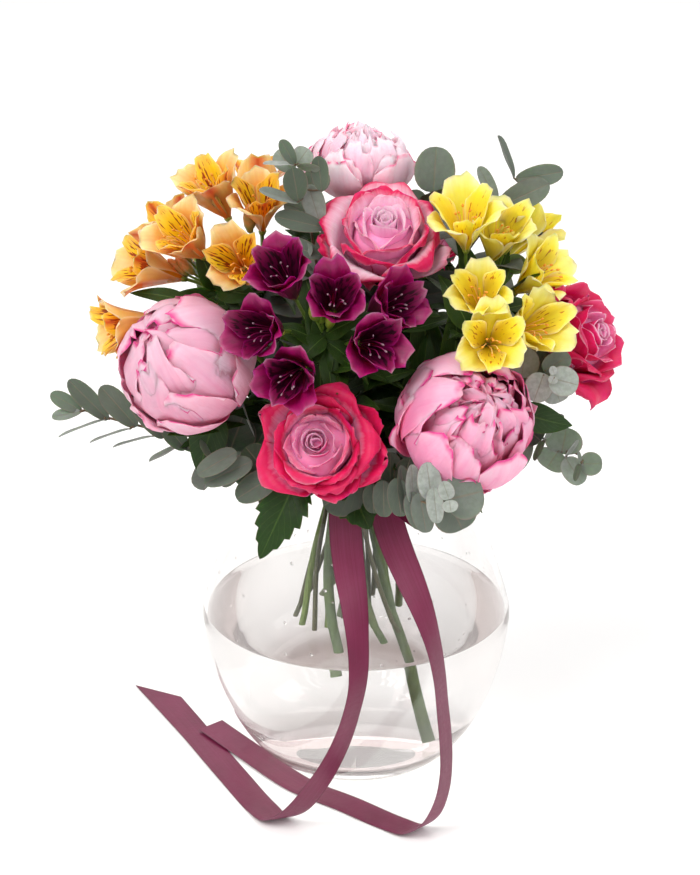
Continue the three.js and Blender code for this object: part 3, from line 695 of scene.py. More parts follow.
def scatterTree():
    # one small shape on every point, turned and sized by the point's own values
    g = Growth("scatter", {
        "Shape": ("Object", None), "Size": ("Float", 1.0), "Size Change": ("Float", 0.0),
        "Seed": ("Int", 3), "Skin": ("Material", None)})
    shape = g.node("GeometryNodeObjectInfo", {"Object": g.given["Shape"]}).outputs["Geometry"]
    change = g.node("FunctionNodeRandomValue", {
        2: g.minus(1.0, g.given["Size Change"]), 3: g.plus(1.0, g.given["Size Change"]),
        "Seed": g.given["Seed"]}, data_type="FLOAT").outputs[1]
    size = g.first("ShaderNodeVectorMath", {0: g.named("size", "FLOAT_VECTOR"),
                                            "Scale": g.times(change, g.given["Size"])},
                   operation="SCALE")
    g.close(g.first("GeometryNodeInstanceOnPoints", {
        "Points": g.given["Geometry"], "Instance": shape,
        "Rotation": g.named("turn", "FLOAT_VECTOR"), "Scale": size}))
    return g


growStalks = stalkTree()
growCopies = scatterTree()


def points(name, places, edges, **values):
    # a mesh of points with named values on them, for a tree to grow on
    mesh = bpy.data.meshes.new(name)
    mesh.from_pydata([tuple(float(c) * mm for c in p) for p in places], edges, [])
    for key, (kind, part, numbers) in values.items():
        made = mesh.attributes.new(key, kind, "POINT")
        made.data.foreach_set(part, np.array(numbers, np.float32).ravel())
    return mesh


def stalks(name, lines, skin, sides=10, lumps=0.0003):
    # lines: list of (points, radius at the start, radius at the end)
    verts, edges, thick = [], [], []
    for line, start, end in lines:
        for i, p in enumerate(line):
            if i:
                edges.append((len(verts) - 1, len(verts)))
            verts.append(p)
            thick.append((start + (end - start) * i / (len(line) - 1)) * mm)
    mesh = points(name + "_lines", verts, edges, thick=("FLOAT", "value", thick))
    return growStalks.run(name, mesh, {"Skin": skin, "Sides": sides, "Lumps": lumps})


def copies(name, shape, places, turns, sizes, tones, skin):
    turns = [tuple(Matrix(t.tolist()).to_euler()) for t in turns]
    mesh = points(name + "_points", places, [], turn=("FLOAT_VECTOR", "vector", turns),
                  size=("FLOAT_VECTOR", "vector", sizes), tone=("FLOAT_COLOR", "color", tones))
    return growCopies.run(name, mesh, {"Shape": shape, "Skin": skin})


def outline(v, foot, belly, tip, claw):
    # half width along a petal, as a share of the widest place
    rise = foot + (1 - foot) * np.sin(np.clip(v / belly, 0, 1) * np.pi / 2) ** claw
    fall = np.cos(np.clip((v - belly) / (1 - belly), 0, 1) * math.acos(tip))
    return rise * fall


petalShape = {  # what a petal's form has unless it says otherwise
    "foot": 0.3, "belly": 0.62, "tip": 0.6, "claw": 1.0, "arc": 0.25, "curl": 1.0, "waves": 3.0,
    "notch": 0.0, "ruffle": 0.0, "swell": 0.0, "lip": 0.0, "crease": 0.0, "lean": 0.0,
}
petalThickness = 0.5
goldenAngle = 137.5
fullTurn = 6.28


def petalGrid(shape, scale, chance, azimuth, nu=17, nv=17):
    # shape["line"] is the petal's middle line as (outward, upward) in shares of scale
    shape = dict(petalShape, **shape)
    line = smoothPath([vec(r, 0, z) * scale for r, z in shape["line"]], scale * 0.03)
    share = travelled(line)
    share = share / share[-1]
    u = np.sin(np.linspace(-1, 1, nu) * np.pi / 2 * 0.92) / math.sin(np.pi / 2 * 0.92)
    uu, vv = np.meshgrid(u, np.linspace(0, 1, nv) ** 0.9)
    rnd = random.Random(chance * 9173.0)
    ph = [rnd.uniform(0, fullTurn) for _ in range(6)]
    notch = shape["notch"] * (0.5 + 0.5 * np.sin(uu * 6.0 + ph[0])
                              + 0.4 * np.sin(uu * 13.0 + ph[1]))
    t = vv * (1 - shape["arc"] * np.abs(uu) ** 2.4 * vv ** 2) - notch * vv ** 5
    t = np.clip(t, 0, 1)
    slope = np.gradient(line, axis=0)
    slope /= np.maximum(np.linalg.norm(slope, axis=1, keepdims=True), 1e-9)
    radius, height, tr, tz = [np.interp(t, share, a[:, k]) for a, k in
                              ((line, 0), (line, 2), (slope, 0), (slope, 2))]
    width = shape["width"] * scale * outline(vv, *[shape[k] for k in
                                                   ("foot", "belly", "tip", "claw")])
    curl = shape["curl"] * scale
    theta = np.clip(uu * width / curl, -2.6, 2.6)
    waves = shape["waves"]
    ripple = (0.6 * np.sin(waves * np.pi * uu + ph[2]) + 0.35 * np.sin(2.3 * waves * uu + ph[3])
              + 0.3 * np.sin(5 * vv + ph[4])) * shape["ruffle"] * scale * vv ** 2.2
    ripple += (np.sin(2.3 * uu + ph[5]) * np.sin(3.4 * vv + ph[0]) * np.sin(np.pi * vv)
               * shape["swell"] * scale)
    lip = shape["lip"] * scale * (np.abs(uu) ** 3 * vv + 0.6 * vv ** 7)
    crease = -shape["crease"] * scale * np.exp(-(uu * 3.0) ** 2) * vv
    # one side edge under the neighbour, the other over it
    lean = shape["lean"] * scale * uu * vv
    push = ripple + lip + crease + lean - curl * (1 - np.cos(theta))
    # outward normal of the middle line is (tz, 0, -tr)
    x, y, z = radius + tz * push, curl * np.sin(theta), height - tr * push
    a = math.radians(azimuth)
    return np.stack([x * math.cos(a) - y * math.sin(a), x * math.sin(a) + y * math.cos(a), z], -1)


leafShapes = {
    "rose": {"kind": "rose", "teeth": 7, "bend": 0.22, "fold": 0.3, "wave": 0.03, "rows": 36},
    "peony": {"kind": "lance", "bend": 0.25, "fold": 0.25, "wave": 0.02, "twist": 12},
    "lance": {"kind": "lance", "bend": 0.3, "fold": 0.2, "wave": 0.03, "twist": 40},
    "sepal": {"kind": "oval", "bend": -0.25, "fold": -0.2, "wave": 0.02},
    "ovalLeaf": {"kind": "oval", "bend": 0.14, "fold": 0.16, "wave": 0.02, "rows": 13},
    "roundLeaf": {"kind": "round", "bend": 0.14, "fold": 0.16, "wave": 0.02, "rows": 13},
}


def leafGrid(root, direction, face, length, width, shape, chance, nu=7):
    # a leaf from its root; face is the way its upper side looks
    along = unit(direction)
    up = unit(np.asarray(face, float) - along * np.dot(face, along))
    across = np.cross(along, up)
    v = np.linspace(0, 1, shape.get("rows", 11))
    kind = shape["kind"]
    if kind in ("round", "oval"):
        v = 0.5 - 0.5 * np.cos(np.pi * v)  # closer rows at both ends
    uu, vv = np.meshgrid(np.linspace(-1, 1, nu), v)
    disc = np.clip(1 - (2 * vv - 1) ** 2, 0, 1)
    if kind == "lance":
        half = np.sin(np.pi * vv ** 0.8) ** 0.8 * (1 - 0.25 * vv) + 0.03
    elif kind == "round":
        half = np.sqrt(disc) ** 0.85 * (1 - 0.12 * (vv - 0.5)) + 0.02
    elif kind == "oval":
        half = disc ** 0.5 * (0.8 + 0.34 * vv) + 0.02
    else:
        half = np.sin(np.pi * vv ** 0.75) ** 0.85 * (1 - 0.15 * vv) + 0.02
    reach = length * (vv - shape["bend"] ** 2 * 0.5 * vv ** 2)
    if "teeth" in shape:  # the points lean towards the tip
        saw = (vv * shape["teeth"]) % 1.0
        half = half * (0.94 + 0.3 * saw * np.abs(uu) ** 3)
        reach = reach + length / shape["teeth"] * 0.4 * saw * np.abs(uu) ** 3 * (1 - vv)
    start = random.Random(chance * 7919.0).uniform(0, fullTurn)
    side = uu * half * width / 2
    lift = (-(shape["bend"] * length) * vv ** 2 + shape["fold"] * np.abs(side)
            + shape["wave"] * length * np.sin(vv * 9 + start) * np.abs(uu))
    twist = math.radians(shape.get("twist", 0)) * vv
    px = side * np.cos(twist) + lift * np.sin(twist)
    pz = lift * np.cos(twist) - side * np.sin(twist)
    return (np.asarray(root, float) + along * reach[..., None] + across * px[..., None]
            + up * pz[..., None])


def addLeaf(shell, root, direction, face, length, width, kind, chance, mat=0, thickness=0.5,
            tint=None, **changes):
    grid = leafGrid(root, direction, face, length, width, dict(leafShapes[kind], **changes), chance)
    # the sheet's outside is across x along, so the columns run the other way
    shell.sheet(grid[:, ::-1], thickness, tone=(chance * 0.6 if tint is None else tint, 0, chance),
                mat=mat)


leavesFrom = 222
foliage = {  # how many leaves a stem carries above that height, and their length and width
    "rose": (10, (38, 52), (24, 32)),
    "peony": (8, (54, 72), (18, 26)),
    "lance": (13, (46, 68), (13, 19)),
}


def stemLeaves(shell, route, rnd, kind, clear=26):
    # leaves along the upper part of a stem, most of them pointing away from the middle
    count, lengths, widths = foliage[kind]
    gone = travelled(route)
    start = gone[int(np.argmax(route[:, 2] > leavesFrom))]
    end = max(gone[-1] - clear, start + 8)
    turn = rnd.uniform(0, 360)
    for i in range(count):
        p = pointAt(start + (end - start) * (i + rnd.uniform(0.1, 0.9)) / count, gone, route)
        turn += goldenAngle
        spin = math.radians(turn)
        out = unit(vec(p[0], p[1], 0)) * 0.7 + vec(math.cos(spin), math.sin(spin), 0)
        way = unit(unit(out) + vec(0, 0, rnd.uniform(-0.1, 0.9)))
        face = vec(0, 0, 1) + vec(0, -0.5, 0) + vec(rnd.uniform(-.4, .4), rnd.uniform(-.4, .4), 0)
        addLeaf(shell, p + way * 2, way, face, rnd.uniform(*lengths), rnd.uniform(*widths), kind,
                rnd.random(), mat=1, bend=rnd.uniform(0.1, 0.4), twist=rnd.uniform(-30, 30))


tie = {"height": 197, "halfLength": 13, "innerRadius": 19.9, "twist": 35, "fanHeight": 100}
stemRings = [(4.6, 11), (10.4, 23), (None, 37)]
stemRadius = {"peony": 3.4, "rose": 2.6, "alstroemeria": 2.2, "eucalyptus": 1.7}
stems = {  # kind, ring, bearing, height of the foot, fan radius if not the ring's
    "peony_back": ("peony", 0, 95, 78), "rose_top": ("rose", 0, 275, 84),
    "eucalyptus_top_left": ("eucalyptus", 0, 185, 90),
    "eucalyptus_top_right": ("eucalyptus", 0, 5, 92),
    "orange_right": ("alstroemeria", 1, 182, 86), "burgundy": ("alstroemeria", 1, 240, 80),
    "yellow_front": ("alstroemeria", 1, 318, 88), "yellow_back": ("alstroemeria", 1, 348, 82),
    "eucalyptus_far_right": ("eucalyptus", 1, 25, 94),
    "eucalyptus_back_left": ("eucalyptus", 2, 145, 88),
    "orange_left": ("alstroemeria", 2, 168, 90), "eucalyptus_left": ("eucalyptus", 2, 188, 92),
    "peony_left": ("peony", 2, 210, 76), "eucalyptus_low_left": ("eucalyptus", 2, 232, 95),
    "rose_front": ("rose", 2, 254, 84), "eucalyptus_front": ("eucalyptus", 2, 275, 90),
    "peony_right": ("peony", 2, 298, 18, 26), "eucalyptus_coins": ("eucalyptus", 2, 321, 93),
    "eucalyptus_low_right": ("eucalyptus", 2, 340, 94), "rose_right": ("rose", 2, 2, 68),
    "eucalyptus_back_right": ("eucalyptus", 2, 30, 90), "rose_back": ("rose", 2, 80, 82),
    "eucalyptus_back": ("eucalyptus", 2, 112, 92),
}


def around(radius, degrees, z):
    a = math.radians(degrees)
    return vec(radius * math.cos(a), radius * math.sin(a), z)


def stemRoute(name, by, end, direction=None):
    kind, ring, bearing, foot, *own = stems[name]
    start, fan = stemRings[ring]
    start = tie["innerRadius"] - 0.9 - stemRadius[kind] if start is None else start
    fan = own[0] if own else fan
    bottom = tie["height"] - tie["halfLength"]

    def at(z):
        share = (bottom - z) / (bottom - tie["fanHeight"])
        return around(start + (fan - start) * share, bearing + tie["twist"] * share, z)
    route = [at(foot), at((foot + bottom) / 2), at(bottom), around(start, bearing, tie["height"]),
             around(start, bearing, tie["height"] + tie["halfLength"]), *by]
    if direction is not None:
        route.append(np.asarray(end, float) - unit(direction) * 12)
    return smoothPath(route + [end], 4.0)


peonyPetal = ("count", "start", "size", "width", "curl", "tip", "foot", "ruffle", "arc",
              "waves", "notch", "belly", "lip", "spin", "line")
peonyForms = {  # petals in shares of the bloom's radius; later layers lie further in
    "closed": [
        (4, 200, 1, .66, 1, .86, .35, .05, .3, 2.6, .05, .72, .04, 12,
         [(.05, 0), (.62, .04), (1.02, .46), (1.08, .9), (1.08, 1.12)]),
        (5, 236, 1, .68, .98, .88, .3, .035, .34, 2.5, .04, .72, 0, 12,
         [(.05, .02), (.6, .08), (1, .54), (1.02, 1.1), (.9, 1.46)]),
        (5, 60, 1, .68, .88, .86, .3, .04, .34, 3, .05, .72, 0, 12,
         [(.05, .04), (.56, .14), (.97, .6), (.97, 1.22), (.72, 1.62), (.4, 1.82)]),
        (3, 150, 1, .3, .6, .84, .3, .05, .3, 3, .06, .7, .05, 40,
         [(.05, .04), (.58, .16), (1, .7), (1.02, 1.2), (.98, 1.42)]),
        (5, 22, .98, .56, .76, .84, .3, .06, .32, 3, .08, .62, 0, 12,
         [(.05, .1), (.5, .26), (.9, .82), (.84, 1.4), (.5, 1.76), (.04, 1.9)]),
        (6, 50, .97, .42, .5, .84, .3, .1, .28, 3, .12, .62, 0, 12,
         [(.05, .3), (.4, .7), (.66, 1.2), (.46, 1.68), (.06, 1.88), (-.16, 1.86)]),
    ],
    "half": [
        (4, 250, 1, .66, 1.02, .86, .3, .06, .3, 2.6, .06, .72, .05, 12,
         [(.05, 0), (.62, .02), (1.04, .42), (1.1, .82), (1.1, 1.04)]),
        (5, 62, 1, .7, .96, .88, .3, .03, .34, 2.4, .03, .72, 0, 12,
         [(.05, .02), (.6, .08), (1.02, .54), (1.04, 1.1), (.88, 1.48)]),
        (5, 92, 1, .62, .84, .86, .3, .05, .34, 2.6, .05, .72, 0, 12,
         [(.05, .06), (.56, .14), (.97, .62), (.96, 1.24), (.7, 1.64)]),
        (6, 14, .98, .5, .7, .84, .3, .06, .32, 2.8, .07, .62, 0, 12,
         [(.05, .12), (.5, .24), (.87, .78), (.84, 1.36), (.54, 1.74)]),
        (8, 3, .98, .42, .52, .86, .3, .1, .3, 2.6, .08, .62, 0, 12,
         [(.05, .2), (.4, .4), (.76, .96), (.7, 1.5), (.36, 1.84)]),
        (8, 20, .97, .38, .4, .86, .3, .12, .3, 2.6, .1, .62, 0, 12,
         [(.04, .3), (.32, .7), (.6, 1.2), (.48, 1.7), (.12, 1.92)]),
        (7, 40, .96, .34, .3, .86, .3, .14, .3, 2.6, .12, .62, 0, 12,
         [(.04, .3), (.2, .8), (.42, 1.3), (.3, 1.78), (-.04, 1.9)]),
        (5, 10, .95, .26, .2, .86, .3, .14, .3, 2.6, .12, .62, 0, 12,
         [(.02, .4), (.12, .9), (.22, 1.4), (.12, 1.84), (-.1, 1.88)]),
    ],
    "ragged": [
        (4, 30, 1, .72, 1.02, .9, .3, .06, .22, 3, .06, .76, .05, 12,
         [(.05, 0), (.62, .06), (1.04, .4), (1.12, .8), (1.06, 1.04)]),
        (5, 0, 1, .66, .95, .9, .3, .06, .24, 3.2, .08, .76, 0, 12,
         [(.05, .04), (.58, .12), (1.02, .5), (1.04, 1), (.84, 1.3)]),
        (6, 40, 1, .56, .85, .9, .3, .07, .24, 3.4, .1, .76, 0, 12,
         [(.05, .08), (.54, .16), (.97, .6), (.94, 1.12), (.62, 1.42)]),
        (6, 3, .98, .5, .7, .9, .3, .09, .24, 3.4, .12, .62, 0, 12,
         [(.05, .2), (.48, .36), (.88, .84), (.76, 1.26), (.38, 1.52)]),
        (8, 24, .97, .38, .5, .88, .3, .12, .26, 3.6, .16, .62, 0, 12,
         [(.04, .3), (.4, .6), (.66, 1.06), (.5, 1.4), (.14, 1.62)]),
        (7, 8, .97, .3, .36, .88, .3, .14, .26, 3.6, .2, .62, 0, 12,
         [(.02, .4), (.22, .8), (.4, 1.2), (.24, 1.54), (-.06, 1.68)]),
    ],
}
peonyFill = {"closed": (0.62, 1.74), "half": (0.34, 1.6), "ragged": (0.4, 1.34)}  # width, top
peonyAll = {"swell": 0.03, "lean": 0.06}
peonyLobe = {  # a broad petal that closes over the top from one side
    "line": [(0.05, 0.04), (0.6, 0.08), (1.05, 0.5), (1.08, 1.16), (0.8, 1.66), (0.42, 1.84)],
    "curl": 0.8, "belly": 0.74, "tip": 0.9, "arc": 0.3, "ruffle": 0.03, "waves": 2.0,
    "notch": 0.02, "swell": 0.04}
roseForm = [  # wound middle, cup, and broad outer petals that turn back to a point
    {"count": 10, "reach": (0.05, 0.24), "top": (1.16, 1.2), "flare": (0.0, 0.02), "drop": (0, 0),
     "width": (0.2, 0.36), "lip": 0.02, "tip": 0.85, "arc": 0.16, "ruffle": 0.01, "turn": 100},
    {"count": 8, "reach": (0.29, 0.54), "top": (1.2, 1.12), "flare": (0.03, 0.2),
     "drop": (0.0, 0.06), "width": (0.42, 0.6), "lip": 0.07, "tip": 0.8, "arc": 0.28,
     "ruffle": 0.025, "turn": goldenAngle},
    {"count": 5, "reach": (0.52, 0.62), "top": (1.1, 1.0), "flare": (0.2, 0.34),
     "drop": (0.04, 0.12), "width": (0.6, 0.68), "lip": 0.12, "tip": 0.66, "arc": 0.36,
     "ruffle": 0.035, "turn": goldenAngle},
    {"count": 5, "reach": (0.62, 0.7), "top": (0.92, 0.78), "flare": (0.42, 0.56),
     "drop": (0.12, 0.24), "width": (0.66, 0.7), "lip": 0.16, "tip": 0.6, "arc": 0.4,
     "ruffle": 0.05, "turn": 72},
]
roseAll = {"foot": 0.45, "belly": 0.66, "waves": 2.2, "notch": 0.012}
roseOuter = {"curl": 0.8, "foot": 0.35, "belly": 0.7, "tip": 0.6, "arc": 0.35, "ruffle": 0.06,
             "waves": 2.4, "lip": 0.12, "notch": 0.03}
roseHeart = [(0, 0.05), (0.34, 0.08), (0.56, 0.36), (0.58, 0.62), (0.5, 0.8), (0.3, 0.88),
             (0, 0.9)]
blooms = {  # "look" turns only the petals; leaves are root, direction, length, width
    "peony_left": {
        "at": (-102, -70, 296), "facing": (-.55, -.5, .67), "radius": 39, "form": "closed",
        "skin": "peony_pale", "by": [(-32, -22, 232), (-58, -38, 255)],
        "leaves": [((-58, -38, 255), (-.75, -.6, -.1), 58, 17),
                   ((-84, -62, 262), (-.35, -.3, -.89), 42, 26)]},
    "peony_right": {
        "at": (66, -86, 266), "facing": (.35, -.62, .7), "radius": 39, "form": "half",
        "skin": "peony_bright", "by": [(22, -34, 222)],
        "lobes": [(48, 0.93, 0.62), (108, 0.97, 0.62), (158, 0.98, 0.44)],
        "leaves": [((26, -40, 226), (.55, -.5, -.22), 56, 14),
                   ((32, -44, 236), (.2, 0, .95), 68, 26),
                   ((94, -60, 262), (.9, -.1, -.25), 40, 20),
                   ((44, -96, 224), (.7, -.45, -.5), 30, 14)]},
    "peony_back": {
        "at": (2, 36, 393), "facing": (0, .1, 1), "radius": 29.5, "form": "ragged", "roll": 30,
        "skin": "peony_cream", "by": [(1, 16, 290)],
        "leaves": [((1, 18, 300), (.2, .9, .35), 62, 24), ((0, 22, 322), (-.6, .7, .4), 58, 24),
                   ((2, 26, 344), (.6, .75, .3), 52, 22), ((0, 18, 280), (-.8, .5, .3), 62, 24),
                   ((2, 28, 356), (-.3, .9, .1), 48, 20), ((4, 20, 310), (.85, .4, .4), 60, 24)]},
    "rose_front": {
        "at": (-21, -105, 255), "facing": (-.04, -.92, .38), "radius": 33.5,
        "look": (-.12, -.86, .5), "skin": "rose", "by": [(-12, -34, 222), (-18, -54, 232)],
        "leaves": [((-34, -72, 228), (-.42, -.5, -.78), 60, 29),
                   ((-6, -64, 218), (.32, -.78, -.42), 36, 34)],
        "extra": [(-14, 1.26, 0.56, "rim"), (28, 1.2, 0.5, "rim"), (152, 1.22, 0.34, "pale"),
                  (-60, 1.06, 0.5, "rim")]},
    "rose_top": {
        "at": (17, -30, 366), "facing": (0, -.57, .82), "radius": 35, "skin": "rose_pale",
        "by": [(9, -14, 290)], "leaves": [],
        "extra": [(188, 1.16, 0.4, "rim"), (-22, 1.2, 0.42, "pale"), (72, 1.02, 0.4, "rim"),
                  (108, 1.0, 0.4, "rim"), (-88, 1.06, 0.5, "rim")]},
    "rose_right": {
        "at": (141, -22, 298), "facing": (.88, -.2, .42), "radius": 35, "look": (.8, -.44, .42),
        "skin": "rose_deep", "by": [(46, -8, 240), (78, -12, 262)],
        "leaves": [((78, -12, 262), (.6, .75, .1), 44, 22)]},
    "rose_back": {
        "at": (34, 74, 336), "facing": (.25, .72, .64), "radius": 35, "skin": "rose",
        "by": [(12, 36, 240), (20, 50, 280)], "leaves": [((14, 38, 246), (.5, .75, .2), 52, 26)]},
}
bloomDepth = {"peony": 0.86, "rose": 0.74}
leafFace = {"front": (0, -.9, .4), "back": (0, .8, .6)}


def addPeony(shell, bloom, base, rnd):
    frame3 = facingFrame(bloom["facing"], bloom.get("roll", 0))
    radius = bloom["radius"]
    layers = [dict(zip(peonyPetal, row)) for row in peonyForms[bloom["form"]]]
    for depth, layer in enumerate(layers):
        for i in range(layer["count"]):
            wander = layer["spin"]
            azimuth = layer["start"] + 360 * i / layer["count"] + rnd.uniform(-wander, wander)
            size = radius * layer["size"] * rnd.uniform(0.97, 1.03)
            chance = rnd.random()
            width = layer["width"] * rnd.uniform(0.85, 1.12)
            # some petals end lower than others
            line = [(r, z * (1 - 0.12 * rnd.random() * (z > 1.2))) for r, z in layer["line"]]
            shape = dict(layer, **peonyAll, width=width, line=line)
            shell.sheet(petalGrid(shape, size, chance, azimuth) @ frame3.T + base, petalThickness,
                        tone=(rnd.random() ** 2, depth / (len(layers) - 1), chance))
    for azimuth, size, width in bloom.get("lobes", []):
        chance = rnd.random()
        grid = petalGrid(dict(peonyLobe, width=width), radius * size, chance, azimuth)
        shell.sheet(grid @ frame3.T + base, petalThickness, tone=(0, 0, chance))
    # a soft body of packed petals under the open ones
    fill, top = peonyFill[bloom["form"]]
    body = [(0, 0.04), (0.5, 0.12), (0.72, 0.5), (fill + 0.16, 0.56 * top), (fill, 0.77 * top),
            (fill * 0.7, 0.92 * top), (0, top)]
    shell.turned([(a * radius, b * radius) for a, b in body], 40, base, frame3, 7, 0.05,
                 (0, 1, 0.5), 1)


def addRose(shell, bloom, base, rnd):
    frame3 = facingFrame(bloom.get("look", bloom["facing"]))
    size = bloom["radius"]
    shell.turned([(a * size, b * size) for a, b in roseHeart], 32, base, frame3, 5, 0.05,
                 (0, 1, 0.5), 1)
    azimuth, done = 0, 0
    total = sum(ring["count"] for ring in roseForm)
    for ring in roseForm:
        for i in range(ring["count"]):
            t = i / (ring["count"] - 1)
            reach, top, flare, drop, width = [ring[key][0] + (ring[key][1] - ring[key][0]) * t
                                              for key in ("reach", "top", "flare", "drop", "width")]
            drop *= rnd.uniform(0.7, 1.3)
            flare *= rnd.uniform(0.8, 1.2)
            share = done / (total - 1)
            low = 0.12 * (1 - share)
            line = [(0.05, low), (reach * 0.72, 0.1 + low), (reach * 1.02, top * 0.5),
                    (reach + flare * 0.22, top * 0.84), (reach + flare * 0.66, top),
                    (reach + flare * 1.1, top - drop)]
            shape = dict(ring, **roseAll, line=line, width=width,
                         curl=max(0.13, reach * 1.04 + flare * 0.8),
                         crease=-0.04 if ring["lip"] > 0.1 else 0.0)
            azimuth += ring["turn"] + rnd.uniform(-9, 9)
            chance = rnd.random()
            shell.sheet(petalGrid(shape, size, chance, azimuth, 17, 15) @ frame3.T + base,
                        petalThickness, tone=(0.5 * rnd.random() ** 2, share, chance))
            done += 1
    # loose outer petals that stand away from the rest
    for azimuth, reach, width, colour in bloom.get("extra", []):
        line = [(0.05, 0.0), (reach * 0.5, 0.08), (reach * 0.78, 0.4), (reach * 0.93, 0.66),
                (reach, 0.72), (reach * 1.04, 0.64)]
        chance = rnd.random()
        grid = petalGrid(dict(roseOuter, line=line, width=width), size, chance, azimuth, 15, 15)
        tone = (0.1, 1, chance) if colour == "rim" else (0.9, 0.55, chance)
        shell.sheet(grid @ frame3.T + base, petalThickness, tone=tone)


sepals = {  # shares of the bloom's radius, how far they point along the stem, and bend
    "peony": {"length": 0.62, "width": 0.5, "rise": 0.55, "bend": -0.3},
    "rose": {"length": 0.78, "width": 0.24, "rise": 0.25, "bend": 0.35},
}


def calyx(shell, end, facing, radius, kind, rnd):
    frame3 = facingFrame(facing)
    form = sepals[kind]
    up = unit(facing)
    for i in range(5):
        a = math.radians(72 * i + rnd.uniform(-8, 8))
        out = frame3 @ vec(math.cos(a), math.sin(a), 0)
        addLeaf(shell, end + out * 1.5, out * 0.85 + up * form["rise"], up - out * 0.4,
                radius * form["length"], radius * form["width"], "sepal", rnd.random(),
                thickness=0.8, bend=form["bend"])
    shell.turned([(0, -5), (3.4, -4), (5.4, 0), (4.8, 4), (0, 6)], 12, end, frame3, 5, 0.05,
                 (0.2, 0, 0.4))


def buildBlooms():
    makers = {"peony": (addPeony, "packedPeony"), "rose": (addRose, "packedRose")}
    for name, bloom in blooms.items():
        rnd = random.Random(name)
        kind = stems[name][0]
        add, packed = makers[kind]
        at, facing, radius = np.asarray(bloom["at"], float), bloom["facing"], bloom["radius"]
        shell = Shell()
        add(shell, bloom, at - unit(facing) * bloomDepth[kind] * radius, rnd)
        flower = shell.object(name + "_petals", [petalSkins[bloom["skin"]], detailSkins[packed]])
        declared(flower, name + "_bloom")
        end = at - unit(facing) * (bloomDepth[kind] * radius + 0.3)
        route = stemRoute(name, bloom["by"], end, facing)
        green = Shell()
        calyx(green, end, facing, radius, kind, rnd)
        for root, direction, length, width in bloom["leaves"]:
            face = leafFace["front" if direction[1] < 0.35 else "back"]
            addLeaf(green, root, direction, face, length, width, kind, rnd.random(), mat=1)
        stemLeaves(green, route, rnd, kind)
        leaves = green.object(name + "_green", [detailSkins["sepal"], leafSkins["rose"]])
        stem = stalks(name + "_line", [(route, stemRadius[kind], stemRadius[kind] * 0.92)],
                      stalkSkins[kind], 12)
        declared(joined(name + "_stalk", [stem, leaves]), name + "_stem")
        print("bloom", name)


umbels = {
    "orange_left": {
        "skin": "orange", "tuft": 6, "parting": (-80, -10, 312),
        "by": [(-34, 0, 236), (-62, -5, 278)],
        "leaves": [((-99, -34, 322), (-.94, -.15, .31), 39, 11),
                   ((-65, -40, 334), (-.94, -.09, .34), 23, 10),
                   ((-98, -30, 322), (.8, 0, -.6), 24, 14)],
        "florets": [((-124, -22, 340), (-.85, -.3, .42)), ((-139, -34, 308), (-.85, -.35, -.05)),
                    ((-102, -34, 362), (-.45, -.55, .7)), ((-112, 28, 344), (-.6, .6, .5))]},
    "orange_right": {
        "skin": "orange", "parting": (-60, 0, 322), "by": [(-30, 0, 250)],
        "florets": [((-86, -4, 382), (-.35, -.3, .85)), ((-70, -44, 350), (-.1, -.85, .45)),
                    ((-58, -8, 374), (0, -.45, .88)), ((-62, 38, 370), (-.1, .65, .75))]},
    "burgundy": {
        "skin": "burgundy", "tuft": 16, "parting": (-18, -48, 296), "by": [(-12, -28, 246)],
        "leaves": [((-22, -38, 302), (-.2, .15, .97), 46, 19),
                   ((-10, -36, 296), (.75, .2, .6), 58, 18)],
        "florets": [((-42, -75, 352), (-.24, -.6, .76)), ((-13, -86, 341), (.05, -.78, .58)),
                    ((-54, -92, 325), (-.45, -.8, .32)), ((8, -95, 318), (.34, -.87, .3)),
                    ((-37, -102, 301), (-.25, -.94, .12)), ((19, -76, 334), (.55, -.6, .5))]},
    "yellow_front": {
        "skin": "yellow", "leafSeed": 5, "parting": (80, -36, 290), "by": [(38, -26, 244)],
        "leaves": [((44, -27, 250), (0, -.05, 1), 74, 26), ((58, -30, 262), (.1, -.2, 1), 60, 22)],
        "florets": [((73, -68, 337), (-.1, -.68, .7)), ((104, -58, 314), (.5, -.68, .48)),
                    ((79, -84, 315), (.05, -.9, .4))]},
    "yellow_back": {
        "skin": "yellow", "parting": (78, -8, 316), "by": [(44, -6, 256)],
        "leaves": [((75, -16, 317), (-.24, -.09, .97), 44, 15),
                   ((78, -14, 316), (.46, -.06, .89), 36, 15),
                   ((69, -30, 303), (-.39, -.1, .92), 39, 18)],
        "florets": [((65, -36, 372), (-.05, -.42, .88)), ((86, -23, 360), (.2, -.42, .86)),
                    ((109, -31, 338), (.6, -.42, .65)), ((106, 24, 346), (.55, .6, .55))]},
}
floretKinds = {
    "orange": {"size": 1.14, "open": (0.86, 1.2), "filament": "filament", "anther": "anther",
               "antherRadius": 0.75, "bud": "orangeBud"},
    "burgundy": {"size": 1.18, "open": (0.86, 1.12), "filament": "darkFilament",
                 "anther": "greyAnther", "antherRadius": 0.6, "bud": "bud"},
    "yellow": {"size": 1.12, "open": (0.96, 1.34), "filament": "filament", "anther": "anther",
               "antherRadius": 0.75, "bud": "yellowBud"},
}
umbelForm = {"buds": 3, "budReach": (30, 42), "whorl": 9, "whorlLength": (34, 54),
             "whorlWidth": (10, 15), "tuftLength": (22, 40), "tuftWidth": (12, 18),
             "floretFoot": 20.3, "tepalThickness": 0.45}
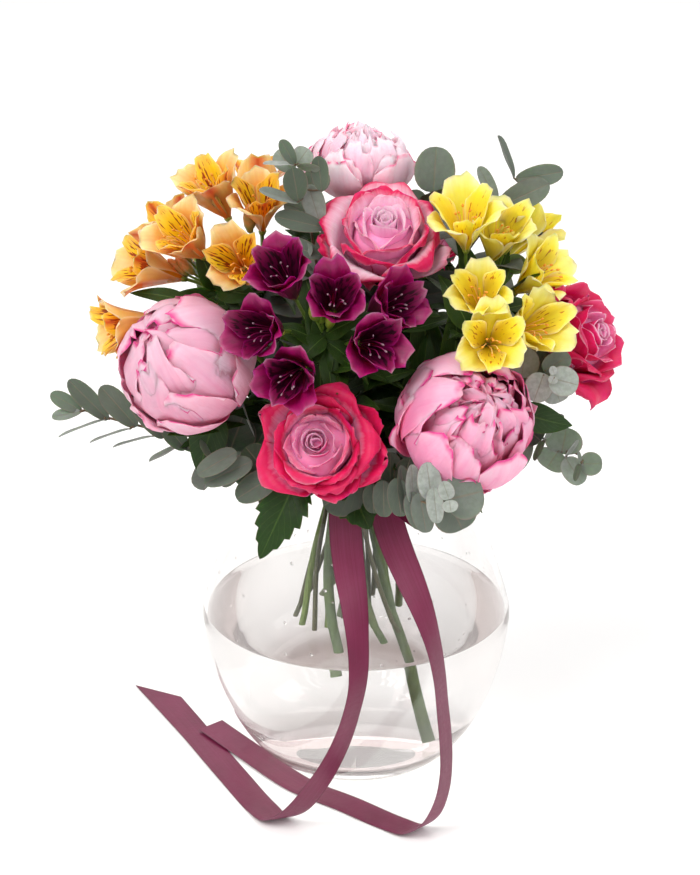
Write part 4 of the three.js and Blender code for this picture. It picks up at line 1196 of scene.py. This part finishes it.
tepalForms = (  # millimetres: outward, upward along the way the flower faces, 0 is its middle
    {"line": [(1.2, -18), (4.2, -10), (7.6, -2), (11.4, 6), (15.4, 11.5), (19, 14.5)],
     "width": 13.2, "curl": 13.5, "foot": 0.1, "belly": 0.8, "tip": 0.93, "arc": 0.26,
     "ruffle": 1.7, "waves": 2.8, "crease": 0.9, "lip": 1.2, "notch": 0.055, "claw": 1.5},
    {"line": [(1.0, -18), (3.6, -10), (6.2, -1), (9.0, 7), (12.0, 14), (15, 18)],
     "width": 9.0, "curl": 9.5, "foot": 0.12, "belly": 0.82, "tip": 0.9, "arc": 0.28,
     "ruffle": 1.3, "waves": 2.8, "crease": -0.8, "notch": 0.05, "claw": 1.3},
)


def ellipsoid(radius, length, steps=5):
    return [(max(radius * math.cos(t), 0.0), length / 2 * math.sin(t))
            for t in np.linspace(-np.pi / 2, np.pi / 2, steps)]


def addFloret(shell, at, facing, rnd, roll, skin):
    frame3 = facingFrame(facing, roll)
    at = np.asarray(at, float)
    kind = floretKinds[skin]
    size = kind["size"] * rnd.uniform(0.94, 1.06)
    for i in range(3):
        for layer, form in enumerate(tepalForms):
            chance = rnd.random()
            opened = rnd.uniform(*kind["open"])
            line = [(r * (opened if z > -5 else 1), z) for r, z in form["line"]]
            azimuth = 90 + 120 * i + 60 * layer + rnd.uniform(-7, 7)
            grid = petalGrid(dict(form, line=line), size, chance, azimuth, 11, 15)
            shell.sheet(grid @ frame3.T + at, umbelForm["tepalThickness"],
                        tone=(rnd.random(), layer, chance))
    # ovary behind the petals
    shell.turned([(0, -3), (1.6, -2.4), (2.5, 0), (2.2, 2), (0, 3)], 9,
                 at + frame3 @ vec(0, 0, -21), frame3, 3, 0.12, (0, 0, 0.5), 3)
    lines = []
    for i in range(6):
        a = math.radians(60 * i + 25 + rnd.uniform(-12, 12))
        lean = rnd.uniform(3.5, 6.5)
        out = vec(math.cos(a), math.sin(a), 0)
        droop = vec(0, -rnd.uniform(1.0, 4.0), 0)
        pts = [frame3 @ p + at for p in (
            out * 1.0 + vec(0, 0, -16), out * 2.6 + vec(0, 0, -4),
            out * lean * 0.7 + vec(0, 0, 8) + droop * 0.4,
            out * lean + vec(0, 0, rnd.uniform(9, 14)) + droop)]
        lines.append((smoothPath(pts, 4.0), 0.36, 0.26))
        tipFrame = facingFrame(pts[-1] - pts[-2], rnd.uniform(0, 90))
        shell.turned(ellipsoid(kind["antherRadius"], 2.6), 7, pts[-1], tipFrame, 2, 0.15,
                     (0, 0, rnd.random()), 1)
    return lines


def buildUmbels():
    form = umbelForm
    for name, umbel in umbels.items():
        rnd = random.Random(name)
        skin = umbel["skin"]
        anther, filament, bud = [detailSkins[floretKinds[skin][key]]
                                 for key in ("anther", "filament", "bud")]
        skins = [tepalSkins[skin], anther, filament, detailSkins["bud"]]
        parting = np.asarray(umbel["parting"], float)
        route = stemRoute(name, umbel["by"], parting)
        lines = [(route, 2.2, 2.0)]
        up = unit(parting - route[-3])
        for i, (at, facing) in enumerate(umbel["florets"]):
            shell = Shell()
            threads = addFloret(shell, at, facing, rnd, rnd.uniform(-25, 25), skin)
            flower = shell.object(f"{name}_tepals_{i + 1}", skins)
            hair = stalks(f"{name}_threads_{i + 1}", threads, filament, 6, 0.0)
            declared(joined(f"{name}_flower_{i + 1}", [flower, hair]),
                     f"{name}_floret_{i + 1}")
            base = np.asarray(at, float) - unit(facing) * form["floretFoot"]
            lines.append((smoothPath([parting - up * 2, base - unit(facing) * 14, base], 3.0),
                          1.2, 1.1))
        green = Shell()
        # buds between the open flowers
        for _ in range(form["buds"]):
            a = rnd.uniform(0, fullTurn)
            lean = vec(math.cos(a) * 0.5, math.sin(a) * 0.4 - 0.2, 1)
            mean = np.mean([f[0] for f in umbel["florets"]], axis=0)
            way = unit(unit(mean - parting) + lean * 0.35)
            tip = parting + way * rnd.uniform(*form["budReach"])
            lines.append((smoothPath([parting - up, parting + up * 8 + way * 8, tip], 3.0),
                          0.9, 0.8))
            green.turned([(0, -1), (1.8, 1), (3.1, 6), (3.0, 11), (1.6, 16), (0, 18)], 12, tip,
                         facingFrame(way), 3, 0.1, (rnd.random(), 0, rnd.random()))
        # a whorl of narrow leaves under the flowers, and loose ones down the stem
        for i in range(form["whorl"]):
            a = 2 * math.pi * i / form["whorl"] + rnd.uniform(-0.3, 0.3)
            way = vec(math.cos(a), math.sin(a), rnd.uniform(0.1, 0.7))
            addLeaf(green, parting - up * rnd.uniform(0, 14), way, vec(0, 0, 1) - way * 0.2,
                    rnd.uniform(*form["whorlLength"]), rnd.uniform(*form["whorlWidth"]), "lance",
                    rnd.random(), mat=1, twist=rnd.uniform(-70, 70), bend=rnd.uniform(0.1, 0.45))
        front = vec(0, -0.8, 0.35)
        for i in range(umbel.get("tuft", 0)):
            a = 2 * math.pi * i / umbel["tuft"] + rnd.uniform(-0.3, 0.3)
            way = unit(front * rnd.uniform(0.3, 0.9) + vec(math.cos(a), 0, math.sin(a)))
            addLeaf(green, parting + up * rnd.uniform(0, 12) + front * rnd.uniform(2, 14), way,
                    front + vec(0, 0, 0.4), rnd.uniform(*form["tuftLength"]),
                    rnd.uniform(*form["tuftWidth"]), "lance", rnd.random(), mat=1,
                    twist=rnd.uniform(-30, 30), bend=rnd.uniform(0.1, 0.4),
                    tint=rnd.random() * 0.3)
        for root, direction, length, width in umbel.get("leaves", []):
            addLeaf(green, root, direction, leafFace["front"], length, width, "lance",
                    rnd.random(), mat=1, twist=15)
        other = random.Random(umbel["leafSeed"]) if "leafSeed" in umbel else rnd
        stemLeaves(green, route, other, "lance", clear=4)
        leaves = green.object(name + "_green", [bud, leafSkins["lance"]])
        stem = stalks(name + "_line", lines, stalkSkins["alstroemeria"])
        declared(joined(name + "_stalk", [stem, leaves]), name + "_stem")
        print("umbel", name)


sprigs = {  # way points, tip, leafy length, pairs, leaf length and width, roll
    "eucalyptus_left": ([(-50, -32, 228), (-102, -50, 241), (-146, -56, 254)], (-184, -58, 268),
                        126, 8, 36, 25, 60),
    "eucalyptus_low_left": ([(-32, -42, 222), (-56, -62, 232)], (-86, -84, 228), 66, 6, 34, 25, 20),
    "eucalyptus_top_left": ([(-12, -6, 260), (-23, -11, 330)], (-35, -19, 408),
                            124, 11, 41, 29, 30),
    "eucalyptus_top_right": ([(18, 4, 260), (34, 8, 330)], (50, 14, 396), 90, 6, 44, 32, 10),
    "eucalyptus_far_right": ([(36, 10, 260), (62, 16, 326)], (110, 2, 398), 80, 5, 44, 20, 40),
    "eucalyptus_coins": ([(40, -28, 226), (84, -34, 250)], (120, -64, 282), 62, 6, 31, 29, 10),
    "eucalyptus_low_right": ([(48, -14, 226), (98, -38, 240)], (148, -52, 224), 84, 6, 29, 26, 30),
    "eucalyptus_front": ([(4, -42, 224), (8, -80, 224)], (50, -134, 230), 76, 9, 32, 30, 25),
    "eucalyptus_back_left": ([(-30, 26, 232), (-64, 56, 264)], (-104, 88, 308), 100, 8, 34, 22, 40),
    "eucalyptus_back": ([(-12, 34, 230), (-20, 68, 256)], (-28, 108, 292), 86, 7, 32, 26, 15),
    "eucalyptus_back_right": ([(34, 26, 230), (70, 54, 256)], (112, 80, 286), 100, 8, 34, 23, 50),
}
sprigForm = {"splay": 62, "taper": 0.45, "turnEachPair": 90, "jitter": 12, "facing": 0.75,
             "until": 1.0, "trim": 0, "petiole": 14, "roundFrom": 0.72}
sprigChanges = {  # "until": where along the leafy length the placed leaves take over
    "eucalyptus_left": {"until": 0.2, "trim": 19},
    "eucalyptus_low_left": {"until": 0.25, "trim": 8},
    "eucalyptus_top_left": {"until": 0.45, "trim": 3},
    "eucalyptus_top_right": {"until": 0.45, "trim": 22},
    "eucalyptus_far_right": {"until": 0.3, "trim": 14},
    "eucalyptus_coins": {"until": 0.25, "trim": 3, "facing": 1.0, "splay": 70},
    "eucalyptus_low_right": {"until": 0.2, "trim": 8},
    "eucalyptus_front": {"until": 0.1, "trim": 12, "facing": 0.0, "petiole": 4},
}
placedLeaves = {  # root, tip, width, degrees turned from the front, how pale
    "eucalyptus_left": [
        (-167, -58, 261, -185, -60, 273, 10, 5, .25), (-167, -60, 261, -185, -62, 259, 9, 35, .45),
        (-151, -58, 255, -174, -58, 281, 12.5, 5, .15),
        (-134, -57, 250, -155, -56, 276, 15, 5, .2),
        (-117, -63, 245, -134, -68, 276, 14.5, 8, .12),
        (-104, -62, 237, -116, -66, 256, 13, 10, .08),
        (-152, -60, 256, -182, -64, 248, 12, 84, .6), (-137, -60, 250, -163, -64, 244, 12, 83, .6),
        (-123, -60, 245, -149, -64, 241, 12, 83, .6), (-107, -60, 239, -127, -66, 232, 12, 72, .5),
        (-88, -58, 234, -108, -60, 240, 13, 58, .2)],
    "eucalyptus_low_left": [
        (-72, -84, 245, -96, -90, 233, 13, 15, .22), (-63, -82, 238, -92, -88, 226, 14, 10, .2),
        (-58, -72, 234, -74, -76, 222, 18, 5, 0), (-49, -80, 228, -73, -86, 215, 17, 10, .12),
        (-77, -60, 236, -69, -58, 257, 24, 5, .05), (-65, -56, 231, -54, -54, 250, 22, 5, 0),
        (-80, -64, 234, -94, -66, 247, 16, 25, .2), (-57, -72, 229, -67, -72, 243, 18, 10, 0)],
    "eucalyptus_top_left": [
        (-37, -22, 405, -45, -24, 421, 8.5, 10, .2), (-36, -18, 404, -29, -14, 413, 13, 0, .75),
        (-37, -22, 405, -56, -26, 408, 10, 68, .8), (-36, -24, 405, -22, -30, 405, 10, 66, .5),
        (-38, -14, 399, -48, -12, 411, 14, 0, .7), (-35, -30, 385, -38, -32, 406, 15, 8, .1),
        (-21, -24, 389, -23, -24, 411, 11, 10, .15), (-22, -20, 367, -29, -20, 392, 14, 5, .7),
        (-35, -28, 383, -58, -30, 393, 9, 40, .5), (-19, -24, 366, -49, -30, 376, 13, 15, .1),
        (-23, -16, 372, -44, -16, 379, 13, 10, .75), (-21, -30, 350, -46, -36, 362, 14, 30, .15),
        (-34, -10, 386, -17, -8, 396, 16, 5, .3), (-27, -30, 357, -40, -34, 348, 13, 20, .3)],
    "eucalyptus_top_right": [
        (47, 10, 378, 49, 14, 406, 25, 5, .35), (39, 4, 376, 62, 0, 383, 12, 66, .2),
        (46, 8, 360, 57, 10, 377, 17, 5, .8), (39, 14, 358, 35, 16, 378, 16, 10, .3)],
    "eucalyptus_far_right": [
        (86, 4, 374, 75, 6, 396, 9.5, 20, .55), (96, 2, 389, 87, 2, 417, 10, 60, .2),
        (97, 2, 389, 126, 0, 394, 13.5, 12, .25), (86, 2, 371, 117, -4, 388, 17, 5, .3),
        (93, -6, 332, 102, -10, 343, 14, 15, .35), (75, 14, 363, 70, 16, 383, 14, 10, .2)],
    "eucalyptus_coins": [
        (112, -66, 290, 128, -64, 299, 14, 10, .3), (115, -72, 288, 133, -72, 283, 18, 0, .95),
        (112, -70, 290, 106, -72, 272, 17, 0, .9), (117, -68, 285, 123, -66, 269, 18, 0, .75),
        (99, -62, 284, 102, -58, 302, 19, 0, .7), (97, -60, 285, 98, -60, 268, 14, 0, .2),
        (118, -75, 291, 116, -77, 297, 5, 0, 1), (118, -75, 290, 116, -77, 286, 6, 0, 1),
        (105, -54, 282, 116, -50, 296, 18, 10, .2), (95, -52, 280, 89, -50, 292, 14, 10, .1)],
    "eucalyptus_low_right": [
        (108, -50, 251, 127, -52, 254, 9, 35, .3), (99, -48, 262, 107, -50, 253, 12, 25, .1),
        (115, -54, 240, 120, -58, 251, 7, 62, .4), (115, -54, 240, 108, -60, 229, 9, 66, .3),
        (126, -50, 229, 129, -46, 245, 23, 0, .45), (124, -50, 231, 117, -48, 218, 21, 0, .45),
        (128, -56, 230, 135, -60, 242, 7, 64, .5), (128, -56, 229, 139, -58, 212, 14, 5, .6),
        (137, -60, 227, 133, -64, 217, 8, 66, .2), (137, -60, 227, 135, -64, 236, 6, 60, .3),
        (137, -56, 225, 151, -56, 225, 14.5, 0, .35), (107, -48, 237, 97, -48, 216, 11, 20, .4)],
    "eucalyptus_front": [
        (52, -126, 232, 75, -120, 235, 28, 0, .35), (54, -124, 231, 63, -120, 209, 26, 0, .2),
        (51, -118, 233, 49, -114, 250, 18, 0, .15), (54, -130, 234, 50, -134, 247, 9.5, 0, 1),
        (54, -131, 234, 55, -135, 228, 9.5, 0, 1), (44, -123, 231, 41, -122, 254, 14.5, 8, 1),
        (45, -126, 240, 47, -128, 217, 10.5, 12, .95),
        (37, -120, 234, 41, -122, 208, 13.5, 10, .3), (33, -116, 226, 33, -116, 250, 11, 35, .95),
        (32, -117, 233, 38, -118, 208, 13, 15, .25), (29, -112, 217, 27, -110, 247, 10, 35, .12),
        (24, -110, 239, 26, -110, 213, 13.5, 12, .1), (16, -104, 235, 16, -104, 210, 13, 12, .1),
        (20, -96, 229, 20, -92, 248, 14, 5, .05), (10, -96, 229, 10, -98, 210, 13, 15, .05),
        (27, -98, 228, 32, -94, 245, 14, 5, 0)],
}


def eucalyptusLeaf(kind):
    # one leaf, 1 m long and 1 m wide, growing along +z with its upper side towards +x
    shell = Shell()
    grid = leafGrid((0, 0, 0), (0, 0, 1), (1, 0, 0), 1000, 1000, leafShapes[kind], 0.37, 9)
    shell.sheet(grid[:, ::-1], 18)
    made = shell.object(kind, [leafSkins["eucalyptus"]])
    made.data.attributes.remove(made.data.attributes["tone"])
    made.hide_render = True
    return made


def buildSprigs():
    ovalLeaf, roundLeaf = eucalyptusLeaf("ovalLeaf"), eucalyptusLeaf("roundLeaf")
    for name, (by, tip, leafy, pairs, length, width, roll) in sprigs.items():
        rnd = random.Random(name)
        route = stemRoute(name, by, tip)
        gone = travelled(route)
        total = gone[-1]
        form = dict(sprigForm, **sprigChanges.get(name, {}))
        lines = [(route[gone <= total - form["trim"]], 1.7, 0.7)]
        light = vec(0, -1 if tip[1] < 40 else 1, 0.6) * form["facing"]
        places, turns, sizes, tones = [], [], [], []

        def leaf(root, way, face, size, tone):
            # columns of a turn: x is the leaf's upper side, z runs along it
            places.append(root)
            turns.append(np.stack([face, np.cross(way, face), way], axis=1))
            sizes.append([c * mm for c in size])
            tones.append(tone)
        for pair in range(pairs):
            share = pair / (pairs - 1)
            if share > form["until"]:
                break
            where = total - leafy * (1 - share) - 1.0
            p, q, r = [pointAt(where + step, gone, route) for step in (0, 3, -3)]
            along = unit(q - r)
            frame3 = facingFrame(along, roll + form["turnEachPair"] * pair)
            size = 1 - form["taper"] * share ** 2
            for side in (1, -1):
                out = frame3[:, 0] * side
                splay = math.radians(form["splay"] - 14 * share
                                     + rnd.uniform(-1, 1) * form["jitter"])
                way = unit(out * math.sin(splay) + along * math.cos(splay)
                           + frame3[:, 1] * rnd.uniform(-0.15, 0.15))
                face = unit(along * math.sin(splay) - out * math.cos(splay)) + light
                face = unit(face - way * np.dot(face, way))
                petiole = p + way * 3.0
                lines.append((np.array([p, p + way * 1.5, petiole + way * 0.6]), 0.8, 0.6))
                grow = size * rnd.uniform(0.88, 1.12)
                long, wide = length * grow, width * grow * rnd.uniform(0.92, 1.08)
                leaf(petiole, way, face, (long, wide, long),
                     (rnd.random() ** 1.5 * 0.55, share, 1, rnd.random()))
        for *ends, wide, turn, pale in placedLeaves.get(name, []):
            root, end = vec(*ends[:3]), vec(*ends[3:])
            way = unit(end - root)
            front = vec(0, -0.92, 0.38)
            face = unit(front - way * np.dot(front, way))
            a = math.radians(turn)
            face = face * math.cos(a) + np.cross(way, face) * math.sin(a)
            near = route[np.argmin(np.linalg.norm(route - root, axis=1))]
            if np.linalg.norm(near - root) < form["petiole"]:
                lines.append((np.array([near, (near + root) / 2, root + way]), 0.8, 0.6))
            long = np.linalg.norm(end - root)
            leaf(root, way, face, (long * 0.5, wide, long), (pale, 1, 1, rnd.random()))
        shape = roundLeaf if width / length > form["roundFrom"] else ovalLeaf
        leaves = copies(name + "_leaves", shape, places, turns, sizes, tones,
                        leafSkins["eucalyptus"])
        stem = stalks(name + "_line", lines, stalkSkins["eucalyptus"], 8, 0.0002)
        declared(joined(name + "_sprig", [stem, leaves]), name)
    bpy.data.objects.remove(ovalLeaf)
    bpy.data.objects.remove(roundLeaf)
    print("eucalyptus ready")


ribbon = {"width": 20, "thickness": 0.5, "columns": 9, "bandRadius": 20.6, "bandHeight": 194,
          "knotAt": (0, -26, 198)}
tails = {  # middle of the ribbon, and half its width as a vector in units of 10 mm
    "left": [
        (-9, -31.6, 199, .8, 0, 0), (-9, -46, 206, .8, 0, 0), (-8, -60, 208.6, .95, 0, 0),
        (-7.5, -66.5, 207, .98, 0, 0), (-7, -73, 193, 1, 0, 0), (-6, -79, 179, 1, .05, 0),
        (-4, -86, 164, .95, .3, 0), (-1, -95, 146, .8, .6, 0), (1, -104, 126, .65, .76, 0),
        (1, -112, 104, .6, .8, 0), (-4, -114, 80, .62, .78, -.05), (-12, -115, 57, .7, .7, -.15),
        (-24, -115, 34, .78, .58, -.25), (-38, -113, 14, .82, .5, -.25),
        (-50, -105, 3.4, .86, .48, -.12), (-60, -88, .8, .89, .46, 0), (-80, -48, .8, .89, .46, 0),
        (-107, 8, .8, .89, .46, 0), (-137, 68, .8, 1.65, -.85, 0)],
    "right": [
        (9, -31.6, 199, .8, 0, 0), (12, -46, 206, .8, 0, 0), (15, -60, 208.6, .95, .05, 0),
        (16.5, -66.5, 207, .98, .15, 0), (20, -74, 192, .97, .2, .1), (25, -79, 178, .93, .3, .15),
        (33, -85, 160, .82, .55, .12), (41, -92, 142, .62, .78, .08), (47, -99, 124, .45, .89, 0),
        (51, -104, 104, .38, .92, 0), (53, -107, 84, .38, .92, 0), (55, -111, 64, .4, .91, 0),
        (55.5, -115, 46, .42, .9, -.05), (53, -119, 28, .5, .85, -.1),
        (46, -121, 12, .62, .77, -.1), (36, -117, 2.8, .72, .7, -.04), (23, -107, .8, .76, .65, 0),
        (-6, -83, .8, .72, .7, 0), (-36, -60, .8, .74, .68, 0), (-69, -20, 1.6, .76, .65, 0),
        (-84, -2, 2.6, .76, .65, 0), (-98, 16, 3, .76, .65, 0)],
}
# the short end folded over the right tail: middle and half width
foldedEnd = [(8, -42, 206, 8, 3, 0), (15, -58, 210.6, 8.5, 4, 0), (22, -70, 210.4, 8, 5, .5),
             (29, -79, 205, 6, 5, 1), (36, -86, 199, 3.4, 3, 1), (41, -90, 195, .8, .6, .3)]


def satinMaterial():
    s = Finish("plum_satin")
    cloud = s.noise(s.place, 26.0)
    weft = s.noise(s.joint(s.times(s.u, 3.0), s.times(s.v, 160.0), 0.0), 1.6, 2.0)
    warp = s.noise(s.joint(s.times(s.u, 90.0), s.times(s.v, 3.0), 0.0), 1.0, 2.0)
    colour = s.mixed(s.spread(cloud, 0.3, 0.7), (94, 10, 42), (114, 24, 60))
    colour = s.mixed(s.spread(warp, 0.35, 0.65, 0.0, 0.4), colour, (140, 48, 96))
    hem = s.spread(s.side, 0.9, 0.97)
    colour = s.mixed(s.times(hem, 0.45), colour, (64, 12, 32))
    height = s.plus(s.times(weft, 0.4), s.times(warp, 0.4), s.times(hem, 0.5))
    return s.done(colour, s.spread(weft, 0.3, 0.7, 0.36, 0.48), {
        "Specular IOR Level": 0.42, "Sheen Weight": 0.08, "Sheen Tint": (214, 110, 186),
        "Sheen Roughness": 0.35}, height, 0.35, 0.0004)


def rounded(rows):
    # smooths the corners of a row of values, three times over
    for _ in range(3):
        rows[1:-1] = (rows[:-2] + rows[1:-1] * 2 + rows[2:]) / 4
    return rows


def across(middle, half, columns):
    u = np.linspace(-1, 1, columns)
    return middle[:, None, :] + half[:, None, :] * u[None, :, None]


def buildRibbon():
    satin = satinMaterial()
    for name, stations in tails.items():
        rows = np.array(stations, float) * [1, 1, 1, 10, 10, 10]
        middle = smoothPath(rows[:, :3], 3.0)
        keys, gone = travelled(rows[:, :3]), travelled(middle)
        length = gone[-1]
        half = rounded(np.stack([np.interp(gone / length * keys[-1], keys, rows[:, 3 + k])
                                 for k in range(3)], axis=1))
        shell = Shell()
        uu, vv = np.meshgrid((np.linspace(-1, 1, ribbon["columns"]) + 1) / 2, gone / length)
        shell.sheet(across(middle, half, ribbon["columns"]), ribbon["thickness"],
                    uv=np.stack([uu, vv], axis=-1), tone=(0, 0, 0.3))
        piece = shell.object("ribbon_" + name, [satin])
        declared(piece, "ribbon_tail_" + name)
        print("ribbon", name, "length", round(length))
    band = Shell()
    aa, hh = np.meshgrid(np.linspace(0, 2 * np.pi, 72), np.linspace(-1, 1, 9))
    radius = ribbon["bandRadius"] + 0.25 * np.sin(aa * 9 + hh * 2) + 0.2 * np.sin(aa * 17)
    height = ribbon["bandHeight"] + hh * (6 + 0.4 * np.sin(aa * 5))
    band.sheet(np.stack([radius * np.cos(aa), radius * np.sin(aa), height], axis=-1),
               ribbon["thickness"], tone=(0, 0, 0.6))
    declared(band.object("ribbon_wrap", [satin]), "ribbon_band")
    knot = Shell()
    profile = [(4.9 * math.sqrt(max(1 - t ** 6, 0)) * (1 - 0.18 * math.cos(t * 4)), 12.4 * t)
               for t in np.linspace(-1, 1, 17)]
    knot.turned(profile, 28, ribbon["knotAt"], facingFrame((1, 0, 0)), 7, 0.07, (0, 0, 0.2))
    rows = np.array(foldedEnd)
    rows = rounded(np.stack([np.interp(np.linspace(0, 1, 25), np.linspace(0, 1, len(rows)),
                                       rows[:, k]) for k in range(6)], axis=1))
    knot.sheet(across(rows[:, :3], rows[:, 3:], 7), ribbon["thickness"], tone=(0, 0, 0.5))
    declared(knot.object("ribbon_tie_knot", [satin]), "ribbon_knot")


vase = {"height": 207, "bellyRadius": 100, "bellyHeight": 101, "footRadius": 50, "rimRadius": 64,
        "wall": 3, "lowerCurve": 1.68, "upperCurve": 1.15, "segments": 128,
        "droplets": 64, "dropletsFrom": 106, "dropletsOver": 62,
        "underside": [(0, 0), (30, 0), (47, 0.1), (49.4, 0.9), (52.5, 2.6)],
        "rim": [(64.1, 204.6), (63.9, 206.2), (62.5, 207), (61.2, 206.2), (60.9, 204.8)],
        "floor": [(0, 13), (30, 13.05), (46, 13.4), (57, 14.6), (64.5, 17.4), (70.5, 22),
                  (74.2, 27)]}
water = {"level": 102.5, "meniscus": 1.6, "overlap": 0.2}


def vaseOuterRadius(z):
    v = vase
    if z < v["bellyHeight"]:
        t = 1 - z / v["bellyHeight"]
        return v["footRadius"] + (v["bellyRadius"] - v["footRadius"]) * (
            1 - t ** v["lowerCurve"]) ** (1 / v["lowerCurve"])
    t = (z - v["bellyHeight"]) / (v["height"] - v["bellyHeight"])
    return v["rimRadius"] + (v["bellyRadius"] - v["rimRadius"]) * (1 - t ** v["upperCurve"])


def glassMaterial(name, tint, ior, rough, streaks):
    s = Finish(name, mapped=False)
    cloud = s.noise(s.place, streaks, 2.0)
    colour = s.mixed(s.spread(cloud, 0.35, 0.65), tint, (0.992, 0.99, 0.988, 1))
    s.done(colour, s.spread(cloud, 0.3, 0.7, 0.0, rough),
           {"Transmission Weight": 1.0, "IOR": ior}, cloud, 0.05, 0.0004)
    # lamps shine through, and a ray that has bounced often goes straight on, dimmed to a warm grey:
    # painted shade along the edges of the glass and of the water
    path = s.node("ShaderNodeLightPath").outputs
    often = s.calc("GREATER_THAN", path["Ray Depth"], 6.5)
    clear = s.first("ShaderNodeBsdfTransparent",
                    {0: s.mixed(often, (0.955, 0.95, 0.945, 1), (0.84, 0.81, 0.805, 1))})
    s.plug(s.tree.nodes["Material Output"].inputs[0], s.first("ShaderNodeMixShader", {
        0: s.most(path["Is Shadow Ray"], often), 1: s.shader.outputs[0], 2: clear}))
    return s.material


def buildVase():
    glass = glassMaterial("clear_glass", (0.965, 0.955, 0.948, 1), 1.45, 0.02, 14.0)
    liquid = glassMaterial("still_water", (0.985, 0.983, 0.978, 1), 1.22, 0.005, 9.0)

    def inner(z):
        return vaseOuterRadius(z) - vase["wall"]
    shell = Shell()
    shell.turned(vase["underside"] + [(vaseOuterRadius(z), z) for z in np.linspace(6, 203.5, 60)]
                 + vase["rim"] + [(inner(z), z) for z in np.linspace(203.5, 36, 50)]
                 + vase["floor"][::-1], vase["segments"])
    rnd = random.Random("droplets")
    for _ in range(vase["droplets"]):
        z = vase["dropletsFrom"] + vase["dropletsOver"] * rnd.random() ** 2
        a = rnd.uniform(0, 2 * math.pi)
        r = rnd.uniform(0.4, 1.2)
        inward = -vec(math.cos(a), math.sin(a), 0)
        shell.turned(ellipsoid(r, 1.1 * r), 8, -inward * inner(z) + vec(0, 0, z),
                     facingFrame(inward, rnd.uniform(0, 90)), 2, 0.12)
    declared(shell.object("vase_clear", [glass], 80), "glass_vase")
    # the water reaches a little way into the glass
    o, level = water["overlap"], water["level"]
    side = [(r + o * (r > 60), z - o * (z < 27)) for r, z in vase["floor"]]
    side += [(inner(z) + o, z) for z in np.linspace(36, level - 1, 24)]
    wall = inner(level) + o
    top = [(wall, level + water["meniscus"]), (wall - 1.6, level + 0.6), (wall - 3.5, level + 0.12),
           (wall - 8, level), (wall - 40, level), (0, level)]
    shell = Shell()
    shell.turned(side + top, vase["segments"])
    declared(shell.object("water_clear", [liquid], 80), "water")
    print("vase ready")


buildBlooms()
buildUmbels()
buildSprigs()
buildRibbon()
buildVase()
